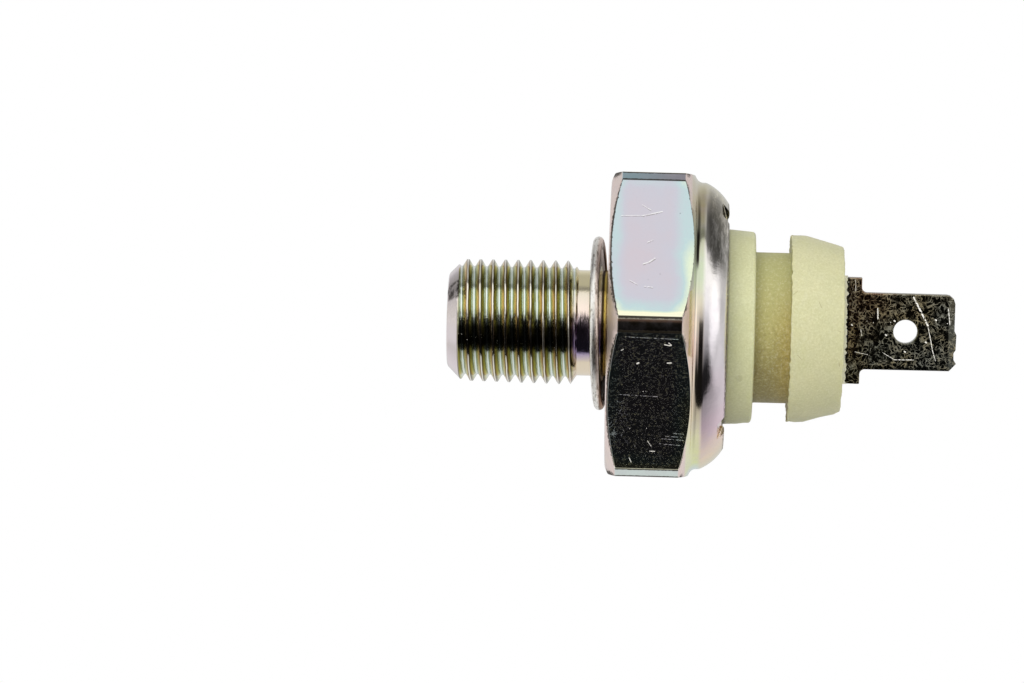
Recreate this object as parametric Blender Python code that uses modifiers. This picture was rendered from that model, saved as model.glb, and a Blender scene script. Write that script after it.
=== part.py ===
"""Oil pressure sender of the switching kind, with one flat tab.

A turned steel body carries an M10 x 1 thread, a hexagon and a collar. The collar's rim is rolled
over the foot of a moulded cap and holds the whole stack: O-ring, diaphragm, earth plate, plunger,
contact disc, spring and the seat to which the tab's leg is staked.

Each piece is modelled upright, thread down, on the sender's own axis, which is local Z. The empty
sender_axis then lays the sender on one flat of its hexagon: its axis becomes world X, thread to -X,
and one corner of the hexagon faces -Y. Angles round the axis are counted from that corner.
"""

import bmesh
import bpy
from math import cos, pi, radians, sin, tan
from mathutils import Matrix

MM = 0.001

# Facets: round the axis outside and inside, along a small edge, a washer's rim and a small hole
TURN_STEPS = 48
INNER_STEPS = 32
EDGE_STEPS = 3
RIM_STEPS = 5
HOLE_STEPS = 32
WIRE_STEPS = 2
SHARP_EDGE = radians(30)

# Gap between pieces that seat on each other, how far a cutter stands out, and the welding distance
SEAT_GAP = 0.1 * MM
CUT_MARGIN = 1.0 * MM
WELD = 0.0001 * MM

# Thread, slightly tapered, with its lead chamfer and undercut neck
THREAD_PITCH = 1.0 * MM
THREAD_END_RADIUS = 4.97 * MM
THREAD_TAPER = 0.11 * MM
THREAD_DEPTH = 0.64 * MM
THREAD_CREST_FLAT = 0.14 * MM
THREAD_ROOT_FLAT = 0.16 * MM
THREAD_LENGTH = 9.85 * MM
THREAD_START = 0.2 * MM
THREAD_CUT_MARGIN = 0.3 * MM
TIP_CHAMFER = 1.16 * MM
RUNOUT_LENGTH = 0.5 * MM
NECK_RELIEF = 0.11 * MM
NECK_LENGTH = 2.45 * MM
NECK_FILLET = 0.3 * MM

# Hexagon, its corners and both of its ends turned off with the blank
HEX_HEIGHT = 7.3 * MM
HEX_ACROSS_FLATS = 24.0 * MM
HEX_CORNER_RADIUS = 13.48 * MM
HEX_LOWER_CHAMFER_WIDTH = 1.98 * MM
HEX_LOWER_CHAMFER = radians(24.5)
HEX_UPPER_CHAMFER = radians(27.8)

# Collar and the lip that is rolled in over the cap's foot. The dome's slopes are from the axis.
COLLAR_RADIUS = 11.47 * MM
COLLAR_HEIGHT = 2.1 * MM
COLLAR_STRAIGHT = 0.4 * MM
COLLAR_ROOT_FILLET = 0.6 * MM
DOME_START_SLOPE = radians(28)
DOME_END_SLOPE = radians(62)
DOME_STEPS = 5
COLLAR_WALL = 1.52 * MM
LIP_THICKNESS = 0.85 * MM
LIP_REACH = 0.8 * MM
LIP_FLAT = 0.65 * MM
LIP_INNER_EDGE = 0.2 * MM

# Crimp notches: two pressed marks and one that goes right through the lip
NOTCH_WIDTH = 2.1 * MM
NOTCH_RADIAL_DEPTH = 1.5 * MM
NOTCH_PRESS_DEPTH = 0.4 * MM
PRESSED_NOTCH_ANGLES = (radians(-62), radians(52.5))
SLOT_WIDTH = 1.3 * MM
SLOT_RADIAL_DEPTH = 1.1 * MM
SLOT_ANGLE = radians(180)

# Oil port, pressure chamber and the cavity for the stack
PORT_RADIUS = 1.5 * MM
PORT_COUNTERSINK = 0.4 * MM
CAVITY_DEPTH = 6.35 * MM
RING_GROOVE_WIDTH = 1.85 * MM
LAND_HEIGHT = 1.4 * MM
LAND_WIDTH = 2.9 * MM
CHAMBER_DEPTH = 0.5 * MM

# Captive crush washer: sheet rolled into a bead at its rim and folded back over itself inside
WASHER_WIDTH = 2.35 * MM
WASHER_CLEARANCE = 0.08 * MM
WASHER_CREST_CLEARANCE = 0.13 * MM
WASHER_INNER_EDGE = 0.3 * MM
WASHER_BEAD = 0.8 * MM
WASHER_BEAD_LAND = 0.3 * MM
WASHER_FOLD_GROOVE = 0.15 * MM
WASHER_FOLD_SLOPE = 0.1 * MM
WASHER_SHEET = 0.45 * MM
WASHER_FOLDED_SHEET = 0.6 * MM
WASHER_PLAY = 0.3 * MM

# Stack under the cap
DIAPHRAGM_THICKNESS = 0.2 * MM
SUPPORT_THICKNESS = 1.8 * MM
SUPPORT_STEP = 0.85 * MM
SUPPORT_EDGE = 0.15 * MM
RIB_FROM_DISC_EDGE = 0.8 * MM
RIB_FROM_COUNTERBORE = 0.55 * MM
RIB_WIDTH = 0.7 * MM
RIB_CREST = 0.3 * MM
RIB_HEIGHT = 0.25 * MM
CONTACT_LIFT = 0.4 * MM
PLUNGER_CLEARANCE = 0.15 * MM
PLUNGER_FLANGE = 0.5 * MM
PLUNGER_EDGE = 0.25 * MM
PIP_RADIUS = 1.1 * MM
PIP_HEIGHT = 1.5 * MM
PIP_CHAMFER = 0.5 * MM
PIP_CLEARANCE = 0.1 * MM
DISC_SIDE_CLEARANCE = 1.05 * MM
DISC_THICKNESS = 0.5 * MM
DISC_DISH_DEPTH = 0.18 * MM
DISC_DISH_WALL = 0.35 * MM
DISC_DISH_CLEARANCE = 0.25 * MM
SEAT_THICKNESS = 0.6 * MM
SEAT_SIDE_CLEARANCE = 0.2 * MM

# Spring of round wire, with one closed turn at each end
WIRE_RADIUS = 0.25 * MM
SPRING_MEAN_RADIUS = 2.3 * MM
SPRING_ACTIVE_TURNS = 5
SPRING_POINTS_PER_TURN = 12
CLOSED_TURN_GAP = 0.08 * MM

# Moulded cap
CAP_WALL = 2.4 * MM
CAP_CONTACT_ROOM = 2.0 * MM
SPRING_POCKET_RADIUS = 3.3 * MM
FLANGE_HEIGHT = 2.2 * MM
FLANGE_FROM_LIP = 1.33 * MM
FLANGE_TAPER = 0.22 * MM
FLANGE_EDGE = 0.3 * MM
FLANGE_FOOT_FLARE = 0.1 * MM
GROOVE_WIDTH = 2.85 * MM
GROOVE_DEPTH = 1.8 * MM
BARB_DEPTH = 1.44 * MM
BARB_LAND = 1.2 * MM
TAPER_HEIGHT = 3.01 * MM
TAPER_DEPTH = 0.86 * MM
TAPER_EDGE = 0.15 * MM
POCKET_ROOF = 3.5 * MM

# Flat tab
BLADE_WIDTH = 6.3 * MM
BLADE_THICKNESS = 0.8 * MM
BLADE_LENGTH = 7.7 * MM
SHOULDER_WIDTH = 8.6 * MM
SHOULDER_HEIGHT = 1.54 * MM
SHOULDER_FILLET = 0.4 * MM
BLADE_CORNER = 0.6 * MM
BLADE_LEAD_IN = 0.7 * MM
BLADE_TIP_THICKNESS = 0.45 * MM
TAB_HOLE_RADIUS = 0.965 * MM
TAB_HOLE_FROM_TIP = 4.2 * MM
LEG_WIDTH = 3.2 * MM
LEG_CLEARANCE = 0.1 * MM
HEAD_HEIGHT = 0.4 * MM
HEAD_THICKNESS = 1.7 * MM
BLADE_ANGLE = radians(8)

# Radii that follow from the sizes above
THREAD_TIP_RADIUS = THREAD_END_RADIUS - THREAD_TAPER
THREAD_ROOT_RADIUS = THREAD_END_RADIUS - THREAD_DEPTH
TIP_FACE_RADIUS = THREAD_TIP_RADIUS - TIP_CHAMFER
NECK_RADIUS = THREAD_ROOT_RADIUS - NECK_RELIEF
WASHER_INNER_RADIUS = NECK_RADIUS + NECK_FILLET + WASHER_CLEARANCE
WASHER_OUTER_RADIUS = WASHER_INNER_RADIUS + WASHER_WIDTH
WASHER_FACE_RADIUS = THREAD_END_RADIUS + WASHER_CREST_CLEARANCE
CAVITY_RADIUS = COLLAR_RADIUS - COLLAR_WALL
LIP_OPENING_RADIUS = CAVITY_RADIUS - LIP_REACH
LAND_RADIUS = CAVITY_RADIUS - RING_GROOVE_WIDTH
CHAMBER_RADIUS = LAND_RADIUS - LAND_WIDTH
CAP_FOOT_RADIUS = CAVITY_RADIUS - SEAT_GAP
CAP_ROOM_RADIUS = CAP_FOOT_RADIUS - CAP_WALL
DISC_RADIUS = CAP_ROOM_RADIUS - DISC_SIDE_CLEARANCE
RIB_RADIUS = DISC_RADIUS - RIB_FROM_DISC_EDGE
SUPPORT_COUNTERBORE_RADIUS = RIB_RADIUS - RIB_FROM_COUNTERBORE
SUPPORT_BORE_RADIUS = SUPPORT_COUNTERBORE_RADIUS - SUPPORT_STEP
FLANGE_RADIUS = LIP_OPENING_RADIUS - FLANGE_FROM_LIP
FLANGE_TOP_RADIUS = FLANGE_RADIUS - FLANGE_TAPER
GROOVE_RADIUS = FLANGE_RADIUS - GROOVE_DEPTH
BARB_RADIUS = GROOVE_RADIUS + BARB_DEPTH
TAPER_TOP_RADIUS = BARB_RADIUS - TAPER_DEPTH

# Heights along the axis that follow from the sizes above, from the thread's tip upwards
NECK_BOTTOM = THREAD_LENGTH + RUNOUT_LENGTH
HEX_BOTTOM = NECK_BOTTOM + NECK_LENGTH
HEX_TOP = HEX_BOTTOM + HEX_HEIGHT
BODY_TOP = HEX_TOP + COLLAR_HEIGHT
LIP_UNDERSIDE = BODY_TOP - LIP_THICKNESS
CAVITY_FLOOR = LIP_UNDERSIDE - CAVITY_DEPTH
LAND_TOP = CAVITY_FLOOR + LAND_HEIGHT
DIAPHRAGM_BOTTOM = LAND_TOP + SEAT_GAP
SUPPORT_BOTTOM = DIAPHRAGM_BOTTOM + DIAPHRAGM_THICKNESS + SEAT_GAP
SUPPORT_TOP = SUPPORT_BOTTOM + SUPPORT_THICKNESS
DISC_BOTTOM = SUPPORT_TOP + RIB_HEIGHT + SEAT_GAP
DISC_TOP = DISC_BOTTOM + DISC_THICKNESS
CAP_BOTTOM = SUPPORT_TOP + SEAT_GAP
CAP_FOOT_TOP = LIP_UNDERSIDE - SEAT_GAP
FLANGE_TOP = BODY_TOP + FLANGE_HEIGHT
GROOVE_TOP = FLANGE_TOP + GROOVE_WIDTH
BARB_TOP = GROOVE_TOP + BARB_LAND
CAP_TOP = BARB_TOP + TAPER_HEIGHT
POCKET_TOP = CAP_TOP - POCKET_ROOF
SEAT_TOP = POCKET_TOP - SEAT_GAP
SEAT_BOTTOM = SEAT_TOP - SEAT_THICKNESS
SHOULDER_BOTTOM = CAP_TOP + SEAT_GAP
SHOULDER_TOP = CAP_TOP + SHOULDER_HEIGHT
BLADE_TOP = SHOULDER_TOP + BLADE_LENGTH


def remove_old_objects():
    for old in list(bpy.data.objects):
        bpy.data.objects.remove(old, do_unlink=True)


def new_collection(name):
    collection = bpy.data.collections.new(name)
    bpy.context.scene.collection.children.link(collection)
    return collection


def new_material(name, colour, roughness, metallic):
    material = bpy.data.materials.new(name)
    material.use_nodes = True
    shader = material.node_tree.nodes["Principled BSDF"]
    shader.inputs["Base Color"].default_value = (*colour, 1.0)
    shader.inputs["Roughness"].default_value = roughness
    shader.inputs["Metallic"].default_value = metallic
    return material


def move_to(obj, collection):
    for holder in list(obj.users_collection):
        holder.objects.unlink(obj)
    collection.objects.link(obj)


def arc(centre_radius, centre_height, radius, start, end, steps):
    """Points of a circular arc in the plane of a profile, as (radius, height) pairs."""
    angles = [start + (end - start) * i / steps for i in range(steps + 1)]
    return [(centre_radius + radius * cos(a), centre_height + radius * sin(a)) for a in angles]


def turned(name, profile, steps=TURN_STEPS):
    """A turned solid. The profile runs up its outer side and back down its inner side or axis."""
    mesh = bpy.data.meshes.new(name)
    points = [(radius, 0.0, height) for radius, height in reversed(profile)]
    on_axis = profile[0][0] == 0.0 and profile[-1][0] == 0.0
    edges = [(i, i + 1) for i in range(len(points) - 1)]
    if not on_axis:
        edges.append((len(points) - 1, 0))
    mesh.from_pydata(points, edges, [])
    obj = bpy.data.objects.new(name, mesh)
    bpy.context.scene.collection.objects.link(obj)
    screw = obj.modifiers.new("turn", 'SCREW')
    screw.axis = 'Z'
    screw.angle = 2 * pi
    screw.steps = steps
    screw.render_steps = steps
    screw.use_merge_vertices = True
    screw.merge_threshold = WELD
    return obj


def box(name, size, centre, angle=0.0):
    """A box turned about the sender's axis by an angle, its centre given before that turn."""
    bpy.ops.mesh.primitive_cube_add(size=1.0)
    obj = bpy.context.object
    obj.name = name
    turn = Matrix.Rotation(angle, 4, 'Z')
    obj.data.transform(turn @ Matrix.Translation(centre) @ Matrix.Diagonal((*size, 1.0)))
    return obj


def rod(name, radius, height, centre, steps, angle=0.0):
    """A round bar along Z, turned about the sender's axis by an angle."""
    bpy.ops.mesh.primitive_cylinder_add(vertices=steps, radius=radius, depth=height)
    obj = bpy.context.object
    obj.name = name
    obj.data.transform(Matrix.Rotation(angle, 4, 'Z') @ Matrix.Translation(centre))
    return obj


def flat_outline(name, outline, thickness, hole=None):
    """A flat piece from an outline in the plane of width (X) and height (Z), with one round hole."""
    curve = bpy.data.curves.new(name, 'CURVE')
    curve.dimensions = '2D'
    curve.fill_mode = 'BOTH'
    curve.extrude = thickness / 2
    loops = [outline]
    if hole is not None:
        centre_height, radius = hole
        loops.append(arc(0.0, centre_height, radius, 2 * pi, 2 * pi / HOLE_STEPS, HOLE_STEPS - 1))
    for loop in loops:
        spline = curve.splines.new('POLY')
        spline.points.add(len(loop) - 1)
        for point, (across, height) in zip(spline.points, loop):
            point.co = (across, height, 0.0, 1.0)
        spline.use_cyclic_u = True
    flat = bpy.data.objects.new(name + "_outline", curve)
    bpy.context.scene.collection.objects.link(flat)
    mesh = mesh_of(flat)
    mesh.transform(Matrix.Rotation(pi / 2, 4, 'X'))
    bpy.data.objects.remove(flat, do_unlink=True)
    obj = bpy.data.objects.new(name, mesh)
    bpy.context.scene.collection.objects.link(obj)
    return obj


def mesh_of(obj):
    """The evaluated mesh of an object, with its loose seams joined."""
    evaluated = obj.evaluated_get(bpy.context.evaluated_depsgraph_get())
    mesh = bpy.data.meshes.new_from_object(evaluated)
    bm = bmesh.new()
    bm.from_mesh(mesh)
    bmesh.ops.remove_doubles(bm, verts=bm.verts, dist=WELD)
    bm.to_mesh(mesh)
    bm.free()
    return mesh


def combine(obj, other, operation):
    """Cut an object by another, join it to it or keep what they share. The other is a guide."""
    boolean = obj.modifiers.new(other.name, 'BOOLEAN')
    boolean.operation = operation
    boolean.solver = 'EXACT'
    boolean.object = other
    other.hide_render = True
    other.display_type = 'WIRE'
    move_to(other, CUTTERS)


def place(obj, height, material, angle=0.0):
    """Settle the shape, put the origin at its seat on the axis and lay it with the sender."""
    mesh = mesh_of(obj)
    obj.modifiers.clear()
    mesh.transform(Matrix.Translation((0.0, 0.0, -height)))
    mesh.name = obj.name
    mesh.materials.clear()
    mesh.materials.append(material)
    mesh.shade_smooth()
    mesh.set_sharp_from_angle(angle=SHARP_EDGE)
    obj.data = mesh
    obj.parent = SENDER_AXIS
    obj.location = (0.0, 0.0, height)
    obj.rotation_euler = (0.0, 0.0, angle)
    move_to(obj, SENDER)
    return obj


def thread_groove():
    """The V groove of the thread, a section swept along a helix, open past the crests."""
    flank_top = (THREAD_PITCH - THREAD_CREST_FLAT) / 2
    flank_bottom = THREAD_ROOT_FLAT / 2
    outer = THREAD_END_RADIUS + THREAD_CUT_MARGIN
    section = [
        (THREAD_ROOT_RADIUS, -flank_bottom),
        (THREAD_ROOT_RADIUS, flank_bottom),
        (THREAD_END_RADIUS, flank_top),
        (outer, flank_top),
        (outer, -flank_top),
        (THREAD_END_RADIUS, -flank_top),
    ]
    turns = int((THREAD_LENGTH + RUNOUT_LENGTH) / THREAD_PITCH) + 1
    bm = bmesh.new()
    start = THREAD_START - THREAD_PITCH
    corners = [bm.verts.new((radius, 0.0, start + height)) for radius, height in section]
    face = bm.faces.new(corners)
    bmesh.ops.spin(bm, geom=[face], cent=(0, 0, 0), axis=(0, 0, 1), angle=2 * pi * turns,
                   dvec=(0, 0, THREAD_PITCH / TURN_STEPS), steps=TURN_STEPS * turns,
                   use_merge=False, use_duplicate=False)
    bmesh.ops.recalc_face_normals(bm, faces=bm.faces)
    mesh = bpy.data.meshes.new("thread_groove")
    bm.to_mesh(mesh)
    bm.free()
    groove = bpy.data.objects.new("thread_groove", mesh)
    bpy.context.scene.collection.objects.link(groove)
    return groove


def hexagon_guide():
    """A sharp hexagonal bar, longer than the body at both ends, with one corner on the first axis."""
    sharp_radius = HEX_ACROSS_FLATS / 2 / cos(pi / 6)
    length = BODY_TOP + 2 * CUT_MARGIN
    return rod("hexagon_bar", sharp_radius, length, (0, 0, BODY_TOP / 2), 6, angle=pi / 6)


def lip_dome():
    """The collar's rim as it is rolled in, from the straight collar to the flat of the lip."""
    start = HEX_TOP + COLLAR_STRAIGHT
    rise = (BODY_TOP - start) / (sin(DOME_END_SLOPE) - sin(DOME_START_SLOPE))
    reach = (COLLAR_RADIUS - LIP_OPENING_RADIUS - LIP_FLAT) / (cos(DOME_START_SLOPE) - cos(DOME_END_SLOPE))
    step = (DOME_END_SLOPE - DOME_START_SLOPE) / DOME_STEPS
    slopes = [DOME_START_SLOPE + step * i for i in range(DOME_STEPS + 1)]
    return [(COLLAR_RADIUS - reach * (cos(DOME_START_SLOPE) - cos(slope)),
             start + rise * (sin(slope) - sin(DOME_START_SLOPE))) for slope in slopes]


def body_outside():
    """The outer side of the body, from the oil port's mouth up to the lip's opening."""
    lower_chamfer = HEX_LOWER_CHAMFER_WIDTH * tan(HEX_LOWER_CHAMFER)
    root = arc(COLLAR_RADIUS + COLLAR_ROOT_FILLET, HEX_TOP, COLLAR_ROOT_FILLET,
               1.5 * pi - HEX_UPPER_CHAMFER, pi, EDGE_STEPS)
    root_radius, root_height = root[0]
    upper_chamfer = (HEX_CORNER_RADIUS - root_radius) * tan(HEX_UPPER_CHAMFER)
    return [
        (PORT_RADIUS + PORT_COUNTERSINK, 0.0),
        (TIP_FACE_RADIUS, 0.0),
        (THREAD_TIP_RADIUS, TIP_CHAMFER),
        (THREAD_END_RADIUS, THREAD_LENGTH),
        (NECK_RADIUS, NECK_BOTTOM),
        *arc(NECK_RADIUS + NECK_FILLET, HEX_BOTTOM - NECK_FILLET, NECK_FILLET, pi, pi / 2, EDGE_STEPS),
        (HEX_CORNER_RADIUS - HEX_LOWER_CHAMFER_WIDTH, HEX_BOTTOM),
        (HEX_CORNER_RADIUS, HEX_BOTTOM + lower_chamfer),
        (HEX_CORNER_RADIUS, root_height - upper_chamfer),
        *root,
        *lip_dome(),
        (LIP_OPENING_RADIUS + LIP_INNER_EDGE, BODY_TOP),
        (LIP_OPENING_RADIUS, BODY_TOP - LIP_INNER_EDGE),
    ]


def body_inside():
    """The inner side of the body, from under the lip down to the oil port's mouth."""
    return [
        (LIP_OPENING_RADIUS, LIP_UNDERSIDE),
        (CAVITY_RADIUS, LIP_UNDERSIDE),
        (CAVITY_RADIUS, CAVITY_FLOOR),
        (LAND_RADIUS, CAVITY_FLOOR),
        (LAND_RADIUS, LAND_TOP),
        (CHAMBER_RADIUS, LAND_TOP),
        (CHAMBER_RADIUS, LAND_TOP - CHAMBER_DEPTH),
        (PORT_RADIUS, LAND_TOP - CHAMBER_DEPTH),
        (PORT_RADIUS, PORT_COUNTERSINK),
    ]


def make_hex_body():
    body = turned("hex_body", body_outside() + body_inside())
    combine(body, hexagon_guide(), 'INTERSECT')
    combine(body, thread_groove(), 'DIFFERENCE')
    notch_reach = NOTCH_RADIAL_DEPTH + CUT_MARGIN
    notch_centre = (LIP_OPENING_RADIUS - CUT_MARGIN + notch_reach / 2, 0.0,
                    BODY_TOP - NOTCH_PRESS_DEPTH + CUT_MARGIN / 2)
    for number, angle in enumerate(PRESSED_NOTCH_ANGLES, start=1):
        notch = box(f"pressed_notch_{number}", (notch_reach, NOTCH_WIDTH, CUT_MARGIN), notch_centre, angle)
        combine(body, notch, 'DIFFERENCE')
    slot_end = LIP_OPENING_RADIUS + SLOT_RADIAL_DEPTH - SLOT_WIDTH / 2
    slot_height = LIP_THICKNESS + SEAT_GAP / 2 + CUT_MARGIN
    slot_middle = BODY_TOP + CUT_MARGIN - slot_height / 2
    slot = box("slot_sides", (slot_end - LIP_OPENING_RADIUS + CUT_MARGIN, SLOT_WIDTH, slot_height),
               ((slot_end + LIP_OPENING_RADIUS - CUT_MARGIN) / 2, 0.0, slot_middle), SLOT_ANGLE)
    combine(body, slot, 'DIFFERENCE')
    combine(body, rod("slot_end", SLOT_WIDTH / 2, slot_height, (slot_end, 0.0, slot_middle), 16, SLOT_ANGLE),
            'DIFFERENCE')
    return place(body, 0.0, STEEL)


def make_sealing_washer():
    """The folded washer, held by the thread's crests: its bore's edge is rolled back to clear them."""
    top = HEX_BOTTOM - WASHER_PLAY
    bottom = top - WASHER_BEAD
    rim = WASHER_BEAD / 2
    bead_radius = WASHER_OUTER_RADIUS - rim
    groove_outside = bead_radius - WASHER_BEAD_LAND - WASHER_FOLD_SLOPE
    groove_inside = groove_outside - WASHER_FOLD_GROOVE
    profile = [
        (WASHER_INNER_RADIUS, bottom + WASHER_INNER_EDGE),
        (WASHER_FACE_RADIUS, bottom),
        *arc(bead_radius, bottom + rim, rim, -pi / 2, pi / 2, RIM_STEPS),
        (bead_radius - WASHER_BEAD_LAND, top),
        (groove_outside, bottom + WASHER_SHEET),
        (groove_inside, bottom + WASHER_SHEET),
        (groove_inside - WASHER_FOLD_SLOPE, bottom + WASHER_FOLDED_SHEET),
        (WASHER_INNER_RADIUS, bottom + WASHER_FOLDED_SHEET),
    ]
    return place(turned("sealing_washer", profile), bottom, PLATED)


def make_seal_ring():
    section = (DIAPHRAGM_BOTTOM - CAVITY_FLOOR) / 2 - SEAT_GAP
    bpy.ops.mesh.primitive_torus_add(major_radius=LAND_RADIUS + RING_GROOVE_WIDTH / 2, minor_radius=section,
                                     major_segments=TURN_STEPS, minor_segments=2 * RIM_STEPS)
    ring = bpy.context.object
    ring.name = "seal_ring"
    height = CAVITY_FLOOR + SEAT_GAP + section
    ring.data.transform(Matrix.Translation((0.0, 0.0, height)))
    return place(ring, height, RUBBER)


def make_diaphragm():
    radius = CAVITY_RADIUS - SEAT_GAP
    film = rod("diaphragm", radius, DIAPHRAGM_THICKNESS,
               (0.0, 0.0, DIAPHRAGM_BOTTOM + DIAPHRAGM_THICKNESS / 2), TURN_STEPS)
    return place(film, DIAPHRAGM_BOTTOM, FILM)


def make_support_ring():
    outer = CAVITY_RADIUS - SEAT_GAP
    counterbore_top = SUPPORT_BOTTOM + PLUNGER_FLANGE + CONTACT_LIFT + SEAT_GAP
    profile = [
        (SUPPORT_COUNTERBORE_RADIUS, SUPPORT_BOTTOM),
        (outer - SUPPORT_EDGE, SUPPORT_BOTTOM),
        (outer, SUPPORT_BOTTOM + SUPPORT_EDGE),
        (outer, SUPPORT_TOP),
        (RIB_RADIUS + RIB_WIDTH / 2, SUPPORT_TOP),
        (RIB_RADIUS + RIB_CREST / 2, SUPPORT_TOP + RIB_HEIGHT),
        (RIB_RADIUS - RIB_CREST / 2, SUPPORT_TOP + RIB_HEIGHT),
        (RIB_RADIUS - RIB_WIDTH / 2, SUPPORT_TOP),
        (SUPPORT_BORE_RADIUS, SUPPORT_TOP),
        (SUPPORT_BORE_RADIUS, counterbore_top),
        (SUPPORT_COUNTERBORE_RADIUS, counterbore_top),
    ]
    return place(turned("support_ring", profile), SUPPORT_BOTTOM, STEEL)


def make_plunger():
    """The plunger: its flange lies on the diaphragm and stops under the earth plate."""
    radius = SUPPORT_BORE_RADIUS - PLUNGER_CLEARANCE
    flange_radius = SUPPORT_COUNTERBORE_RADIUS - PLUNGER_CLEARANCE
    flange_top = SUPPORT_BOTTOM + PLUNGER_FLANGE
    top = DISC_BOTTOM - SEAT_GAP
    profile = [
        (0.0, SUPPORT_BOTTOM),
        *arc(flange_radius - PLUNGER_EDGE, SUPPORT_BOTTOM + PLUNGER_EDGE, PLUNGER_EDGE,
             -pi / 2, 0.0, EDGE_STEPS),
        (flange_radius, flange_top),
        (radius, flange_top),
        (radius, top),
        (PIP_RADIUS, top),
        (PIP_RADIUS, DISC_TOP + PIP_HEIGHT - PIP_CHAMFER),
        (PIP_RADIUS - PIP_CHAMFER, DISC_TOP + PIP_HEIGHT),
        (0.0, DISC_TOP + PIP_HEIGHT),
    ]
    return place(turned("plunger", profile, INNER_STEPS), SUPPORT_BOTTOM, PHENOLIC)


def make_contact_disc():
    hole = PIP_RADIUS + PIP_CLEARANCE
    dish_radius = SPRING_MEAN_RADIUS + WIRE_RADIUS + DISC_DISH_CLEARANCE
    profile = [
        (hole, DISC_BOTTOM),
        (DISC_RADIUS, DISC_BOTTOM),
        (DISC_RADIUS, DISC_TOP),
        (dish_radius + DISC_DISH_WALL, DISC_TOP),
        (dish_radius, DISC_TOP - DISC_DISH_DEPTH),
        (hole, DISC_TOP - DISC_DISH_DEPTH),
    ]
    return place(turned("contact_disc", profile, INNER_STEPS), DISC_BOTTOM, BRASS)


def spring_points():
    """Centre line of the wire: a closed turn, the open turns, and a closed turn."""
    bottom = DISC_TOP - DISC_DISH_DEPTH + SEAT_GAP + WIRE_RADIUS
    top = SEAT_BOTTOM - SEAT_GAP - WIRE_RADIUS
    closed_rise = 2 * WIRE_RADIUS + CLOSED_TURN_GAP
    open_rise = (top - bottom - 2 * closed_rise) / SPRING_ACTIVE_TURNS
    points = []
    for i in range((SPRING_ACTIVE_TURNS + 2) * SPRING_POINTS_PER_TURN + 1):
        turns = i / SPRING_POINTS_PER_TURN
        closed_below = min(turns, 1.0)
        closed_above = max(0.0, turns - 1.0 - SPRING_ACTIVE_TURNS)
        opened = turns - closed_below - closed_above
        height = bottom + closed_rise * (closed_below + closed_above) + open_rise * opened
        angle = 2 * pi * turns
        points.append((SPRING_MEAN_RADIUS * cos(angle), SPRING_MEAN_RADIUS * sin(angle), height))
    return points


def make_contact_spring():
    curve = bpy.data.curves.new("contact_spring", 'CURVE')
    curve.dimensions = '3D'
    curve.bevel_depth = WIRE_RADIUS
    curve.bevel_resolution = WIRE_STEPS
    curve.use_fill_caps = True
    points = spring_points()
    spline = curve.splines.new('POLY')
    spline.points.add(len(points) - 1)
    for point, co in zip(spline.points, points):
        point.co = (*co, 1.0)
    spring = bpy.data.objects.new("contact_spring", curve)
    bpy.context.scene.collection.objects.link(spring)
    mesh = mesh_of(spring)
    bpy.data.objects.remove(spring, do_unlink=True)
    spring = bpy.data.objects.new("contact_spring", mesh)
    bpy.context.scene.collection.objects.link(spring)
    return place(spring, DISC_TOP, SPRING_STEEL)


def leg_slot(name, bottom, top):
    """The slot for the tab's leg in a piece that reaches from one height to another."""
    size = (BLADE_THICKNESS + 2 * LEG_CLEARANCE, LEG_WIDTH + 2 * LEG_CLEARANCE,
            top - bottom + 2 * CUT_MARGIN)
    return box(name, size, (0.0, 0.0, (bottom + top) / 2), BLADE_ANGLE)


def make_spring_seat():
    radius = SPRING_POCKET_RADIUS - SEAT_SIDE_CLEARANCE
    seat = rod("spring_seat", radius, SEAT_THICKNESS, (0.0, 0.0, (SEAT_TOP + SEAT_BOTTOM) / 2), INNER_STEPS)
    combine(seat, leg_slot("seat_slot", SEAT_BOTTOM, SEAT_TOP), 'DIFFERENCE')
    return place(seat, SEAT_BOTTOM, BRASS)


def make_insulator_cap():
    room_top = CAP_BOTTOM + CAP_CONTACT_ROOM
    flange_foot = FLANGE_RADIUS + FLANGE_FOOT_FLARE
    profile = [
        (CAP_ROOM_RADIUS, CAP_BOTTOM),
        (CAP_FOOT_RADIUS, CAP_BOTTOM),
        (CAP_FOOT_RADIUS, CAP_FOOT_TOP),
        (flange_foot, CAP_FOOT_TOP),
        (FLANGE_RADIUS, CAP_FOOT_TOP + FLANGE_EDGE),
        *arc(FLANGE_TOP_RADIUS - FLANGE_EDGE, FLANGE_TOP - FLANGE_EDGE, FLANGE_EDGE,
             0.0, pi / 2, EDGE_STEPS),
        (GROOVE_RADIUS, FLANGE_TOP),
        (GROOVE_RADIUS, GROOVE_TOP),
        (BARB_RADIUS, GROOVE_TOP),
        (BARB_RADIUS, BARB_TOP),
        *arc(TAPER_TOP_RADIUS - TAPER_EDGE, CAP_TOP - TAPER_EDGE, TAPER_EDGE, 0.0, pi / 2, EDGE_STEPS),
        (0.0, CAP_TOP),
        (0.0, POCKET_TOP),
        (SPRING_POCKET_RADIUS, POCKET_TOP),
        (SPRING_POCKET_RADIUS, room_top),
        (CAP_ROOM_RADIUS, room_top),
    ]
    cap = turned("insulator_cap", profile)
    combine(cap, leg_slot("cap_slot", POCKET_TOP, CAP_TOP), 'DIFFERENCE')
    return place(cap, CAP_BOTTOM, NYLON)


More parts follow.
